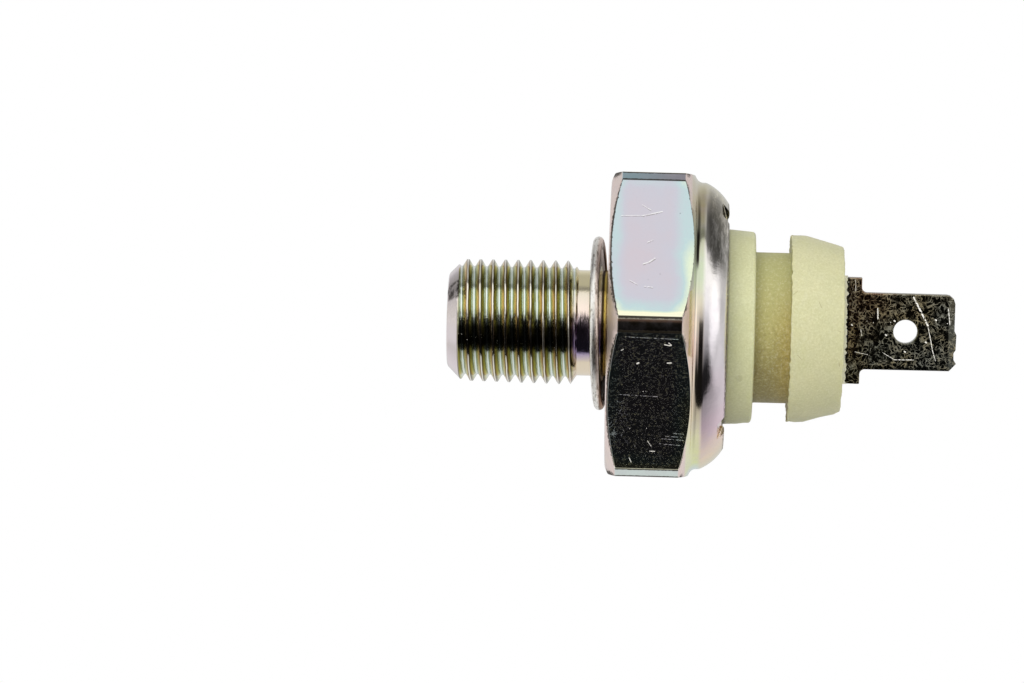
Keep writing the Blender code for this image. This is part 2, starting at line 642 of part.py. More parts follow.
def blade_outline():
    """Half the front view of the tab, from the leg's foot up to the tip, with its mirror image."""
    shoulder = SHOULDER_WIDTH / 2
    blade = BLADE_WIDTH / 2
    leg_foot = SEAT_BOTTOM - SEAT_GAP - HEAD_HEIGHT
    half = [
        (LEG_WIDTH / 2, leg_foot),
        (LEG_WIDTH / 2, SHOULDER_BOTTOM),
        (shoulder, SHOULDER_BOTTOM),
        (shoulder, SHOULDER_TOP),
        *arc(blade + SHOULDER_FILLET, SHOULDER_TOP + SHOULDER_FILLET, SHOULDER_FILLET,
             -pi / 2, -pi, EDGE_STEPS),
        (blade, BLADE_TOP - BLADE_CORNER),
        (blade - BLADE_CORNER, BLADE_TOP),
    ]
    return half + [(-across, height) for across, height in reversed(half)]


def blade_side_guide():
    """The tab's side view: thin towards the tip, wide where its leg is staked, swept across its width."""
    thick = BLADE_THICKNESS / 2
    tip = BLADE_TIP_THICKNESS / 2
    head = HEAD_THICKNESS / 2
    head_top = SEAT_BOTTOM - SEAT_GAP
    half = [
        (head, head_top - HEAD_HEIGHT - CUT_MARGIN),
        (head, head_top),
        (thick, head_top),
        (thick, BLADE_TOP - BLADE_LEAD_IN),
        (tip, BLADE_TOP),
        (tip, BLADE_TOP + CUT_MARGIN),
    ]
    outline = half + [(-across, height) for across, height in reversed(half)]
    side = flat_outline("blade_side", outline, SHOULDER_WIDTH + 2 * CUT_MARGIN)
    side.data.transform(Matrix.Rotation(pi / 2, 4, 'Z'))
    return side


def make_terminal_blade():
    hole = (BLADE_TOP - TAB_HOLE_FROM_TIP, TAB_HOLE_RADIUS)
    blade = flat_outline("terminal_blade", blade_outline(), HEAD_THICKNESS + CUT_MARGIN, hole)
    combine(blade, blade_side_guide(), 'INTERSECT')
    return place(blade, SHOULDER_BOTTOM, TINNED, angle=pi / 2 + BLADE_ANGLE)


remove_old_objects()
SENDER = new_collection("oil_pressure_sender")
CUTTERS = new_collection("cutters")

STEEL = new_material("yellow_zinc_steel", (0.66, 0.60, 0.52), 0.25, 1.0)
PLATED = new_material("bright_plated_steel", (0.70, 0.68, 0.62), 0.3, 1.0)
BRASS = new_material("brass", (0.80, 0.62, 0.30), 0.3, 1.0)
TINNED = new_material("dark_tinned_brass", (0.25, 0.22, 0.17), 0.35, 1.0)
SPRING_STEEL = new_material("spring_steel", (0.55, 0.55, 0.55), 0.3, 1.0)
NYLON = new_material("natural_nylon", (0.62, 0.62, 0.38), 0.45, 0.0)
PHENOLIC = new_material("brown_phenolic", (0.16, 0.08, 0.04), 0.5, 0.0)
RUBBER = new_material("black_rubber", (0.02, 0.02, 0.02), 0.6, 0.0)
FILM = new_material("amber_polyimide", (0.60, 0.28, 0.04), 0.3, 0.0)

SENDER_AXIS = bpy.data.objects.new("sender_axis", None)
SENDER.objects.link(SENDER_AXIS)
SENDER_AXIS.location = (-BLADE_TOP / 2, 0.0, HEX_ACROSS_FLATS / 2)
SENDER_AXIS.rotation_euler = (radians(-90), 0.0, radians(-90))

make_hex_body()
make_sealing_washer()
make_seal_ring()
make_diaphragm()
make_support_ring()
make_plunger()
make_contact_disc()
make_contact_spring()
make_spring_seat()
make_insulator_cap()
make_terminal_blade()
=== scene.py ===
"""The fine surfaces, finishes, light and camera of an oil pressure sender.

The sender lies on one flat of its hexagon, its axis along X with the thread to -X. Each visible
piece is modelled upright round Z in millimetres, thread down, and is then laid over its solid.
Heights count from the thread's tip. Angles round the axis count from the corner that faces -Y.
"""
from functools import reduce
from math import cos, pi, radians, sin

import bmesh
import bpy
from mathutils import Matrix, Vector
from mathutils.noise import noise


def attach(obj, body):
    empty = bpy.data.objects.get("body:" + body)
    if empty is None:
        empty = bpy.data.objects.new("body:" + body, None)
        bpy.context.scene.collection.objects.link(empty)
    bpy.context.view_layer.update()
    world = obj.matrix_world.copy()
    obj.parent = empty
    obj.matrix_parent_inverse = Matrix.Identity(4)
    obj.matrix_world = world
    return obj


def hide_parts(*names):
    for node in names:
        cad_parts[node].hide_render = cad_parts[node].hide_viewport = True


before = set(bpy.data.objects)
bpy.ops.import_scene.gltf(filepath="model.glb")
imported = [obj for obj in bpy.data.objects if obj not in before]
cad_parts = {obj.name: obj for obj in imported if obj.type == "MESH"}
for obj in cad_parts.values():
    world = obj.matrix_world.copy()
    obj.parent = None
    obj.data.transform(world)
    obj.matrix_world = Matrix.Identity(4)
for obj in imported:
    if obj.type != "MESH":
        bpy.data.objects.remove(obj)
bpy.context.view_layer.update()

MM = 0.001
AXIS_HEIGHT = 12.0
TIP_TO_MIDDLE = 20.35
LAY_DOWN = (Matrix.Translation((-TIP_TO_MIDDLE * MM, 0.0, AXIS_HEIGHT * MM))
            @ Matrix.Rotation(radians(-90), 4, 'Z') @ Matrix.Rotation(radians(-90), 4, 'X')
            @ Matrix.Scale(MM, 4))
ROUND_STEPS = 180
FINE_ROUND_STEPS = 360
WELD = 0.0005
LARGEST_CURVED_FACE = 8.0

# Thread: half of one groove, as distance from its middle in pitches and radius. The thread's surface
# runs from the tip's edge to the nose's end, and rings join it to the tip face and to the neck
PITCH = 1.0
GROOVE_START = 0.2
GROOVE_FORM = [(0.0, 4.33), (0.05, 4.335), (0.09, 4.36), (0.13, 4.42), (0.22, 4.57), (0.31, 4.72),
               (0.40, 4.87), (0.44, 4.925), (0.475, 4.96)]
CREST = 4.975
TIP_FACE = 3.7
TIP_EDGE = 0.06
TIP_CHAMFER = 1.16
THREAD_TIP = 4.86
THREAD_END = 4.975
THREAD_LENGTH = 9.85
RUNOUT_END = 10.35
NECK = 4.22
NOSE_END = 10.7
NECK_JOIN = 10.9

# Hexagon, collar and lip. The pressed marks and the notch are given by their angles round the axis
HEX_FACE = 12.8
HEX_HALF = 12.0
HEX_EDGE = 0.045
LIP_TOP = 22.2
PRESSED_MARKS = (-62.0, 52.5)
MARK_SLOPE = 14.0
CLEAR_NOTCH = 180.0
NOTCH_HALF = 0.65

WASHER_MIDDLE = 12.05
WASHER_LEANS = (2.75, 1.6)

# Ridge of moulding flash round the tab's foot: its thickness and length, then its two heights
FLASH_PLAN = (1.3, 8.6)
FLASH_FOOT = 31.28
FLASH_TOP = 31.84

BLADE_ANGLE = 8.0
BLADE_HALF = 0.4
BLADE_EDGE = 0.07
LEAD_IN_START = 40.0
LEAD_IN_SLOPE = 14.0
HOLE_CENTRE = 36.57
HOLE_RADIUS = 0.965
HOLE_CHAMFER = 0.07

# Scratches seen from the front, as start, end and width. Ends are (along the axis, up from it)
UPPER_FACE_SCRATCHES = (
    ((13.7, 8.46), (15.6, 8.52), 0.05), ((15.4, 8.50), (16.9, 8.86), 0.10),
    ((15.52, 4.69), (16.0, 4.86), 0.11), ((15.95, 4.84), (16.41, 5.16), 0.13),
    ((15.33, 9.35), (15.99, 8.96), 0.07), ((15.81, 6.41), (16.22, 6.60), 0.07),
    ((15.65, 2.96), (16.30, 2.90), 0.06), ((14.5, 3.4), (15.1, 3.1), 0.05))
LOWER_FACE_MARKS = (
    ((17.35, -1.52), (17.75, -1.60), 0.08), ((17.66, -1.38), (17.88, -1.56), 0.07),
    ((17.88, -1.56), (17.75, -1.60), 0.08), ((15.25, -3.05), (15.38, -2.99), 0.13),
    ((17.6, -2.95), (17.9, -2.93), 0.10), ((14.0, -2.05), (14.18, -1.95), 0.05),
    ((16.4, -9.9), (16.8, -9.92), 0.07), ((16.2, -9.1), (16.5, -9.5), 0.05),
    ((14.8, -10.5), (14.95, -10.8), 0.08))
LOWER_FACE_DOTTED_LINES = (
    ((13.9, -5.5), (16.9, -5.6), 0.05), ((14.3, -1.0), (18.4, -1.1), 0.05),
    ((17.3, -8.9), (19.0, -9.0), 0.05), ((17.6, -8.7), (18.9, -8.75), 0.04),
    ((17.0, -9.3), (18.8, -9.4), 0.05), ((18.2, -8.45), (19.0, -8.5), 0.05))
CAP_MARKS = (
    ((27.3, 2.6), (27.7, 2.95), 0.05), ((29.4, 2.1), (29.62, 1.65), 0.06),
    ((30.9, -0.1), (31.2, -0.2), 0.05), ((27.8, -2.1), (28.1, -2.4), 0.06),
    ((31.1, -2.6), (31.15, -2.9), 0.08))
TAB_DASHED_LINE = ((37.15, 2.72), (38.36, 0.48), 0.18)
TAB_SCRATCHES = (
    ((38.36, 0.48), (38.80, -1.55), 0.08), ((38.80, -1.55), (39.05, -2.3), 0.07),
    ((34.30, 1.75), (34.34, 0.95), 0.12), ((35.75, -2.30), (37.30, -2.28), 0.08),
    ((34.8, -1.75), (35.75, -2.30), 0.05), ((32.45, 4.0), (32.5, 3.1), 0.06),
    ((39.95, 1.85), (40.12, 0.6), 0.09), ((33.1, -0.45), (33.0, 0.05), 0.08),
    ((32.6, -1.75), (33.6, -1.95), 0.06))
TAB_SPOTS = ((35.65, 0.82), (35.0, -0.32), (36.55, -1.62), (38.2, -0.82), (38.95, 0.98), (32.25, 0.42))


# ---- shader sums -------------------------------------------------------------------------------

class Signal:
    """An output socket in a shader tree. Python's operators on signals add the Math nodes for them."""

    def __init__(self, tree, socket=None):
        self.tree = tree
        self.socket = socket

    def node(self, kind, settings=None, values=None, output=0):
        """Adds a node, makes its settings, fills its sockets with values or signals, gives one output."""
        made = self.tree.nodes.new("ShaderNode" + kind)
        for name, value in (settings or {}).items():
            if name == "stops":
                stops = made.color_ramp.elements
                while len(stops) < len(value):
                    stops.new(0.5)
                for stop, (position, colour) in zip(stops, value):
                    stop.position = position
                    stop.color = (*colour, 1.0)
            else:
                setattr(made, name, value)
        for key, value in (values or {}).items():
            if isinstance(value, Signal):
                self.tree.links.new(value.socket, made.inputs[key])
            else:
                made.inputs[key].default_value = value
        return Signal(self.tree, made.outputs[output] if made.outputs else None)

    def math(self, operation, *others):
        return self.node("Math", {"operation": operation}, dict(enumerate((self, *others))))

    def __add__(self, other):
        return self.math('ADD', other)

    def __sub__(self, other):
        return self.math('SUBTRACT', other)

    def __rsub__(self, other):
        return self.node("Math", {"operation": 'SUBTRACT'}, {0: other, 1: self})

    def __mul__(self, other):
        return self.math('MULTIPLY', other)

    def __truediv__(self, other):
        return self.math('DIVIDE', other)

    def __pow__(self, other):
        return self.math('POWER', other)

    __radd__ = __add__
    __rmul__ = __mul__

    def size(self):
        return self.math('ABSOLUTE')

    def rise(self, low, high):
        """0 below one value, 1 above the other, with a soft step between."""
        return self.node("MapRange", {"interpolation_type": 'SMOOTHSTEP'},
                         {"Value": self, "From Min": low, "From Max": high})

    def fall(self, low, high):
        return 1 - self.rise(low, high)

    def band(self, low, high, soft):
        """1 between two values and 0 outside them."""
        return self.rise(low - soft, low + soft) * self.fall(high - soft, high + soft)

    def least(self, other):
        return self.math('MINIMUM', other)

    def most(self, other):
        return self.math('MAXIMUM', other)

    def ramp(self, *stops):
        """A colour that runs through (value, colour) stops, values from 0 to 1."""
        return self.node("ValToRGB", {"stops": stops}, {"Fac": self})

    def over(self, below, above):
        """The colour above, laid over the colour below by this mask."""
        return self.node("Mix", {"data_type": 'RGBA'}, {0: self, 6: paint(below), 7: paint(above)}, 2)

    def split(self):
        parts = self.node("SeparateXYZ", None, {0: self}).socket.node
        return [Signal(self.tree, part) for part in parts.outputs]

    def joined(self, second, third):
        return self.node("CombineXYZ", None, {0: self, 1: second, 2: third})

    def bent(self, scale, amount):
        """The place, pushed about by a noise of so many millimetres."""
        push = self.node("TexNoise", None, {"Vector": self, "Scale": scale, "Detail": 2.0}, "Color")
        return push.node("VectorMath", {"operation": 'MULTIPLY_ADD'},
                         {0: push, 1: (amount,) * 3, 2: self})

    def lines(self, scale, width):
        """Fine curling lines: 1 where a smooth noise passes its middle value."""
        return (self.grain(scale, 0.0) - 0.5).size().fall(width * 0.3, width)

    def stretched(self, *scale):
        return self.node("Mapping", None, {"Vector": self, "Scale": scale})

    def grain(self, scale, detail=2.0, rough=0.5):
        """Noise from 0 to 1 at so many features a millimetre."""
        return self.node("TexNoise", None, {"Vector": self, "Scale": scale, "Detail": detail,
                                            "Roughness": rough})

    def cells(self, scale, output=0):
        """The distance to the middle of the nearest of so many random cells a millimetre."""
        return self.node("TexVoronoi", None, {"Vector": self, "Scale": scale}, output)


def paint(colour):
    return colour if isinstance(colour, Signal) else (*colour, 1.0)


class Finish:
    """A material read from a place in millimetres: along the axis from the tip, back and up from it.

    The turn is the angle round the axis from the front, and the climb is the same for the front
    and the back: the angle up or down from the level of the axis."""

    def __init__(self, name, **fixed):
        self.material = bpy.data.materials.new(name)
        self.material.use_nodes = True
        self.tree = self.material.node_tree
        self.shader = self.tree.nodes["Principled BSDF"]
        for socket, value in fixed.items():
            self.shader.inputs[socket.replace("_", " ")].default_value = value
        spot = Signal(self.tree).node("TexCoord", output="Object")
        self.place = spot.node("Mapping", None, {
            "Vector": spot, "Location": (TIP_TO_MIDDLE, 0.0, -AXIS_HEIGHT), "Scale": (1 / MM,) * 3})
        self.along, self.back, self.up = self.place.split()
        self.radius = (self.back * self.back + self.up * self.up) ** 0.5
        self.turn = self.up.math('ARCTAN2', self.back * -1.0)
        self.climb = self.up.math('ARCTAN2', self.back.size())

    def wear(self, height=None, depth=0.01, **linked):
        """Links what changes over the surface. The height is a relief of so many millimetres."""
        for socket, signal in linked.items():
            self.tree.links.new(signal.socket, self.shader.inputs[socket.replace("_", " ")])
        if height is not None:
            relief = height.node("Bump", None, {
                "Strength": 1.0, "Distance": depth * MM, "Height": height})
            self.tree.links.new(relief.socket, self.shader.inputs["Normal"])
        return self.material

    def scratch(self, start, end, width):
        """A mask that is 1 on a straight scratch, seen from the front: ends as (along, up)."""
        run = Vector(end) - Vector(start)
        length = run.length
        east, north = run / length
        ahead = (self.along - start[0]) * east + (self.up - start[1]) * north
        aside = (self.along - start[0]) * -north + (self.up - start[1]) * east
        past = (ahead - length / 2).size() - length / 2
        reach = (aside * aside + past.most(0.0) ** 2.0) ** 0.5
        return reach.fall(width * 0.25, width * 0.5)

    def scratches(self, strokes):
        """One mask of several scratches, each given as its start, end and width."""
        return reduce(Signal.most, [self.scratch(*stroke) for stroke in strokes])

    def chosen_cells(self, scale, near, far, channel, low, high):
        """Dots of so many cells a millimetre. A random number of each cell chooses those that show."""
        chance = self.place.cells(scale, output="Color").split()[channel]
        return self.place.cells(scale).fall(near, far) * chance.rise(low, high)


# ---- shapes ------------------------------------------------------------------------------------

def arc(centre_radius, centre_height, radius, start, end, steps):
    """Points on an arc of a profile, angles in degrees."""
    angles = [radians(start + (end - start) * i / steps) for i in range(steps + 1)]
    return [(centre_radius + radius * cos(a), centre_height + radius * sin(a)) for a in angles]


def line_of(bm, points, closed=False):
    verts = [bm.verts.new((radius, 0.0, height)) for radius, height in points]
    pairs = list(zip(verts, verts[1:])) + ([(verts[-1], verts[0])] if closed else [])
    return verts + [bm.edges.new(pair) for pair in pairs]


def turned(profile, closed=True, steps=ROUND_STEPS):
    """Spins a profile of (radius, height) points once round the axis."""
    bm = bmesh.new()
    bmesh.ops.spin(bm, geom=line_of(bm, profile, closed), cent=(0, 0, 0), axis=(0, 0, 1),
                   angle=2 * pi, steps=steps, use_merge=True, use_duplicate=False)
    bmesh.ops.remove_doubles(bm, verts=bm.verts, dist=WELD)
    bmesh.ops.recalc_face_normals(bm, faces=bm.faces)
    return bm


def block(size, centre, edge=0.0, matrix=Matrix()):
    """A box with rounded edges."""
    bm = bmesh.new()
    bmesh.ops.create_cube(bm, size=1.0, matrix=matrix @ Matrix.Translation(centre)
                          @ Matrix.Diagonal((*size, 1.0)))
    if edge:
        bmesh.ops.bevel(bm, geom=bm.edges[:], offset=edge, offset_type='OFFSET', segments=3,
                        profile=0.5, affect='EDGES', material=-1)
    return bm


def as_object(bm, name="shape"):
    mesh = bpy.data.meshes.new(name)
    bm.to_mesh(mesh)
    bm.free()
    obj = bpy.data.objects.new(name, mesh)
    bpy.context.scene.collection.objects.link(obj)
    return obj


def carved(bm, *cutters):
    """The shape with the cutters taken out of it."""
    blank = as_object(bm)
    tools = [as_object(cutter) for cutter in cutters]
    for tool in tools:
        cut = blank.modifiers.new("cut", 'BOOLEAN')
        cut.operation = 'DIFFERENCE'
        cut.solver = 'EXACT'
        cut.object = tool
    settled = blank.evaluated_get(bpy.context.evaluated_depsgraph_get())
    result = bmesh.new()
    result.from_mesh(bpy.data.meshes.new_from_object(settled))
    for obj in (blank, *tools):
        bpy.data.objects.remove(obj, do_unlink=True)
    bmesh.ops.remove_doubles(result, verts=result.verts, dist=WELD)
    return result


def piece(name, bm, finish, node, sharp=32):
    """Lays a shape over its solid, with its finish, on the body that carries the solid."""
    bmesh.ops.transform(bm, matrix=LAY_DOWN, verts=bm.verts)
    obj = as_object(bm, name)
    obj.data.materials.append(finish)
    obj.data.shade_smooth()
    obj.data.set_sharp_from_angle(angle=radians(sharp))
    for face in obj.data.polygons:
        face.use_smooth = face.area < LARGEST_CURVED_FACE * MM * MM
    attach(obj, "sender")
    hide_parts(node)
    return obj


# ---- body --------------------------------------------------------------------------------------

def blank_radius(height):
    """The turned blank that the thread is cut in: tip chamfer, slight taper, run-out and neck."""
    if height < TIP_CHAMFER:
        return TIP_FACE + height
    if height < THREAD_LENGTH:
        taper = (THREAD_END - THREAD_TIP) / (THREAD_LENGTH - TIP_CHAMFER)
        return THREAD_TIP + taper * (height - TIP_CHAMFER)
    if height < RUNOUT_END:
        return THREAD_END - (THREAD_END - NECK) * (height - THREAD_LENGTH) / (RUNOUT_END - THREAD_LENGTH)
    return NECK


def threaded_nose():
    """The thread's surface: one helical turn of its whole profile, joined to itself a pitch further on."""
    half = GROOVE_FORM + [(0.5, CREST)]
    one_pitch = half + [(1.0 - away, radius) for away, radius in reversed(half[1:-1])]
    pitches = int(NECK_JOIN / PITCH) + 3
    start = GROOVE_START - 2 * PITCH
    profile = [(radius, start + (number + away) * PITCH)
               for number in range(pitches) for away, radius in one_pitch]
    bm = bmesh.new()
    bmesh.ops.spin(bm, geom=line_of(bm, profile), cent=(0, 0, 0), axis=(0, 0, 1),
                   dvec=(0, 0, PITCH / ROUND_STEPS), angle=2 * pi, steps=ROUND_STEPS,
                   use_merge=False, use_duplicate=False)
    bmesh.ops.remove_doubles(bm, verts=bm.verts, dist=WELD)
    for vert in bm.verts:
        across = vert.co.to_2d()
        radius = min(across.length, blank_radius(vert.co.z))
        across.length = radius
        vert.co = (*across, vert.co.z)
    bisected(bm, (0, 0, TIP_EDGE), (0, 0, -1))
    bisected(bm, (0, 0, NOSE_END), (0, 0, 1))
    return bm


def body_profile():
    """From the neck up the outside, over the lip, down the cavity and out through the oil port."""
    root = arc(12.07, 20.1, 0.6, 242.2, 180, 7)
    start, end, steps = radians(28), radians(62), 12
    dome = []
    for i in range(steps + 1):
        slope = start + (end - start) * i / steps
        dome.append((11.40 - 1.60 * (cos(start) - cos(slope)) / (cos(start) - cos(end)),
                     20.48 + 1.72 * (sin(slope) - sin(start)) / (sin(end) - sin(start))))
    return [
        (NECK, NECK_JOIN), (NECK, 11.7), (NECK, HEX_FACE - 0.3),
        *arc(NECK + 0.3, HEX_FACE - 0.3, 0.3, 180, 90, 6),
        (7.5, HEX_FACE), (10.9, HEX_FACE), (11.45, HEX_FACE), (11.6, HEX_FACE + 0.045),
        (12.4, HEX_FACE + 0.41), (13.4, HEX_FACE + 0.866), (13.48, HEX_FACE + 0.92),
        (13.48, 16.2), (13.48, 18.66), (13.4, 18.72), (12.6, 19.142),
        *root, *arc(10.87, 20.2, 0.6, 0, 28, 6)[:-1], *dome,
        (9.6, LIP_TOP + 0.02), (9.36, LIP_TOP), *arc(9.36, LIP_TOP - 0.21, 0.21, 90, 180, 4),
        (9.15, 21.35), (9.95, 21.35), (9.95, 15.0), (8.1, 15.0), (8.1, 16.4), (5.2, 16.4),
        (5.2, 15.9), (1.5, 15.9), (1.5, 0.4), (1.9, 0.0), (3.62, 0.0),
    ]


def pressed_mark(angle):
    """The punch that presses a crimp mark into the lip, deeper towards the outside."""
    tilt = (Matrix.Rotation(radians(angle), 4, 'Z') @ Matrix.Translation((9.7, 0.0, LIP_TOP - 0.36))
            @ Matrix.Rotation(radians(MARK_SLOPE), 4, 'Y'))
    return block((2.0, 2.1, 2.0), (0.0, 0.0, 1.0), 0.12, tilt)


def notch_cutters():
    """A box and a round end, which cut the clear notch through the lip."""
    turn = Matrix.Rotation(radians(CLEAR_NOTCH), 4, 'Z')
    box = block((1.4, 2 * NOTCH_HALF, 2.0), (9.0, 0.0, LIP_TOP), 0.0, turn)
    end = bmesh.new()
    bmesh.ops.create_cone(end, cap_ends=True, segments=32, radius1=NOTCH_HALF, radius2=NOTCH_HALF,
                          depth=2.0, matrix=turn @ Matrix.Translation((9.6, 0.0, LIP_TOP)))
    return box, end


def bisected(bm, point, out):
    """Cuts away what lies beyond a plane. Gives the edges of the cut."""
    cut = bmesh.ops.bisect_plane(bm, geom=bm.verts[:] + bm.edges[:] + bm.faces[:], dist=WELD / 10,
                                 plane_co=point, plane_no=out, clear_outer=True)
    return [part for part in cut["geom_cut"] if isinstance(part, bmesh.types.BMEdge)]


def open_rims(bm, low, high):
    """The open edges between two heights."""
    return [edge for edge in bm.edges
            if edge.is_boundary and all(low < vert.co.z < high for vert in edge.verts)]


def add_shape(bm, other):
    """Puts the other shape's faces into the first one."""
    mesh = bpy.data.meshes.new("added")
    other.to_mesh(mesh)
    other.free()
    bm.from_mesh(mesh)


def hex_body():
    """The hexagon, collar and lip, with the thread's surface joined on at the neck and at the tip."""
    bm = turned(body_profile(), closed=False)
    for height in (NECK_JOIN, 0.0):
        bmesh.ops.edgeloop_fill(bm, edges=open_rims(bm, height - WELD, height + WELD))
    for side in range(6):
        angle = radians(30 + 60 * side)
        out = Vector((cos(angle), sin(angle), 0.0))
        bmesh.ops.edgeloop_fill(bm, edges=bisected(bm, out * HEX_HALF, out))
    bmesh.ops.recalc_face_normals(bm, faces=bm.faces)
    bm = carved(bm, *[pressed_mark(angle) for angle in PRESSED_MARKS], *notch_cutters())
    caps = [face for face in bm.faces if len(face.verts) >= ROUND_STEPS - 2
            and (abs(face.calc_center_median().z - NECK_JOIN) < WELD
                 or abs(face.calc_center_median().z) < WELD)]
    bmesh.ops.delete(bm, geom=caps, context='FACES_ONLY')
    flats = [face for face in bm.faces if face.calc_area() > 20.0 and abs(face.normal.z) < 0.01
             and len(face.verts) > 30]
    rims = [edge for face in flats for edge in face.edges]
    bmesh.ops.bevel(bm, geom=rims, offset=HEX_EDGE, offset_type='OFFSET', segments=2, profile=0.5,
                    affect='EDGES', clamp_overlap=True, material=-1)
    add_shape(bm, threaded_nose())
    for low, high in ((0.0, TIP_EDGE), (NOSE_END, NECK_JOIN)):
        bmesh.ops.bridge_loops(bm, edges=open_rims(bm, low - 0.1, high + 0.1))
    bmesh.ops.recalc_face_normals(bm, faces=bm.faces)
    return bm


# ---- washer, cap and blade ---------------------------------------------------------------------

def sealing_washer():
    """The folded washer. It hangs loose on the neck, so it leans: near and upper sides to the thread."""
    low, high, bead = WASHER_MIDDLE - 0.375, WASHER_MIDDLE + 0.375, 0.375
    bm = turned([
        (4.6, low + 0.35), *arc(5.1, low + 0.3, 0.3, 180, 270, 5)[1:],
        (6.0, low), *arc(6.575, low + bead, bead, -90, 90, 16),
        (6.42, high - 0.01), *arc(6.30, high - 0.13, 0.10, 60, 180, 5), (6.19, low + 0.47),
        *arc(6.12, low + 0.47, 0.06, 0, -180, 4)[1:], (6.05, low + 0.50),
        *arc(5.98, low + 0.53, 0.07, 0, 90, 4), (5.2, low + 0.61), (4.6, low + 0.60),
    ])
    middle = Matrix.Translation((0.0, 0.0, WASHER_MIDDLE))
    to_front, to_top = (radians(lean) for lean in WASHER_LEANS)
    lean = middle @ Matrix.Rotation(to_front, 4, 'Y') @ Matrix.Rotation(to_top, 4, 'X')
    bmesh.ops.transform(bm, matrix=lean @ middle.inverted(), verts=bm.verts)
    return bm


def insulator_cap():
    """The moulded cap: clamped foot, flange, groove and barbed taper, hollow for the spring."""
    bm = turned([
        (7.45, 18.7), (9.85, 18.7), (9.85, 21.25), (8.1, 21.25),
        *arc(8.1, 21.53, 0.28, -90, -180, 4)[1:],
        (7.80, 22.2), (7.72, 23.2), *arc(7.36, 24.12, 0.28, 5, 90, 7),
        (6.3, 24.4), *arc(6.2, 24.58, 0.18, -90, -180, 4)[1:],
        (6.02, 25.4), (6.02, 26.3), (6.02, 27.1), *arc(6.17, 27.1, 0.15, 180, 90, 3)[1:],
        (7.0, 27.25), (7.40, 27.24), (7.475, 27.27), (7.475, 27.35), (7.45, 27.41),
        (7.46, 27.9), (7.45, 28.36), (7.42, 28.54), (7.05, 29.92), (6.75, 31.0),
        *arc(6.46, 31.28, 0.18, 10, 90, 5),
        (5.0, 31.46), (0.0, 31.46), (0.0, 27.96), (3.3, 27.96), (3.3, 20.7), (7.45, 20.7),
    ], steps=FINE_ROUND_STEPS)
    roughen(bm)
    turn = Matrix.Rotation(radians(BLADE_ANGLE), 4, 'Z')
    bm = carved(bm, block((1.0, 3.4, 6.0), (0.0, 0.0, 30.0), 0.0, turn))
    ridge = flash_ridge()
    bmesh.ops.transform(ridge, matrix=turn, verts=ridge.verts)
    add_shape(bm, ridge)
    return bm


def roughen(bm):
    """Makes the barb's edges ragged with flash and the underside a little uneven."""
    for vert in bm.verts:
        radius, height = vert.co.to_2d().length, vert.co.z
        flash = 0.08 if radius > 7.2 and 27.2 < height < 27.45 else 0.0
        flash = 0.04 if 6.3 < radius < 6.7 and height > 31.2 else flash
        vert.co.z += flash * noise(vert.co * 1.9) + flash * noise(vert.co * 3.3)
        if radius > 6.3 and 22.3 < height < 31.3:
            below = max(0.0, vert.co.y / radius - 0.93) / 0.07
            vert.co.xy *= 1.0 + 0.012 * below * noise(vert.co * 1.7)


def flash_ridge():
    """The ragged ridge of flash that stands round the tab's foot."""
    middle = (FLASH_FOOT + FLASH_TOP) / 2
    ridge = block((*FLASH_PLAN, FLASH_TOP - FLASH_FOOT), (0.0, 0.0, middle))
    long_edges = [edge for edge in ridge.edges if abs(edge.verts[0].co.y - edge.verts[1].co.y) > 1.0]
    bmesh.ops.subdivide_edges(ridge, edges=long_edges, cuts=70, use_grid_fill=True)
    for vert in ridge.verts:
        if vert.co.z > middle:
            vert.co.z += 0.20 * noise(Vector((vert.co.x, vert.co.y * 4.2, 0.0)))
    return ridge


def terminal_blade():
    """The flat tab. Its plan is drawn upright, thinned at the tip, drilled and turned to its angle."""
    plan = [
        (1.6, 26.76), (1.6, 31.56), (4.26, 31.56), (4.3, 31.62), (4.32, 32.94), (4.26, 33.0),
        *arc(3.52, 33.4, 0.4, -90, -180, 6),
        (3.10, 40.14), (2.52, 40.7), (2.2, 40.5), (1.65, 40.48), (1.4, 40.64), (0.2, 40.67),
        (-0.15, 40.5), (-2.35, 40.5), (-2.70, 40.38), (-2.97, 40.05), (-3.02, 39.8),
        *arc(-3.49, 33.45, 0.45, 0, -90, 6), (-4.20, 33.0), (-4.24, 32.94), (-4.24, 31.62),
        (-4.20, 31.56), (-1.6, 31.56), (-1.6, 26.76),
    ]
    bm = bmesh.new()
    face = bm.faces.new([bm.verts.new((across, -BLADE_HALF, height)) for across, height in plan])
    pushed = bmesh.ops.extrude_face_region(bm, geom=[face])["geom"]
    bmesh.ops.translate(bm, vec=(0.0, 2 * BLADE_HALF, 0.0),
                        verts=[part for part in pushed if isinstance(part, bmesh.types.BMVert)])
    bmesh.ops.recalc_face_normals(bm, faces=bm.faces)
    rims = [edge for edge in bm.edges if abs(edge.verts[0].co.y - edge.verts[1].co.y) < WELD]
    bmesh.ops.bevel(bm, geom=rims, offset=BLADE_EDGE, offset_type='OFFSET', segments=2, profile=0.5,
                    affect='EDGES', clamp_overlap=True, material=-1)
    slope = radians(LEAD_IN_SLOPE)
    for side in (-1, 1):
        rim = bisected(bm, (0.0, side * BLADE_HALF, LEAD_IN_START), (0.0, side * cos(slope), sin(slope)))
        bmesh.ops.edgeloop_fill(bm, edges=rim)
        bmesh.ops.recalc_face_normals(bm, faces=bm.faces)
    bm = carved(bm, chamfered_drill())
    bmesh.ops.rotate(bm, cent=(0, 0, 0), verts=bm.verts,
                     matrix=Matrix.Rotation(pi / 2 + radians(BLADE_ANGLE), 3, 'Z'))
    return bm


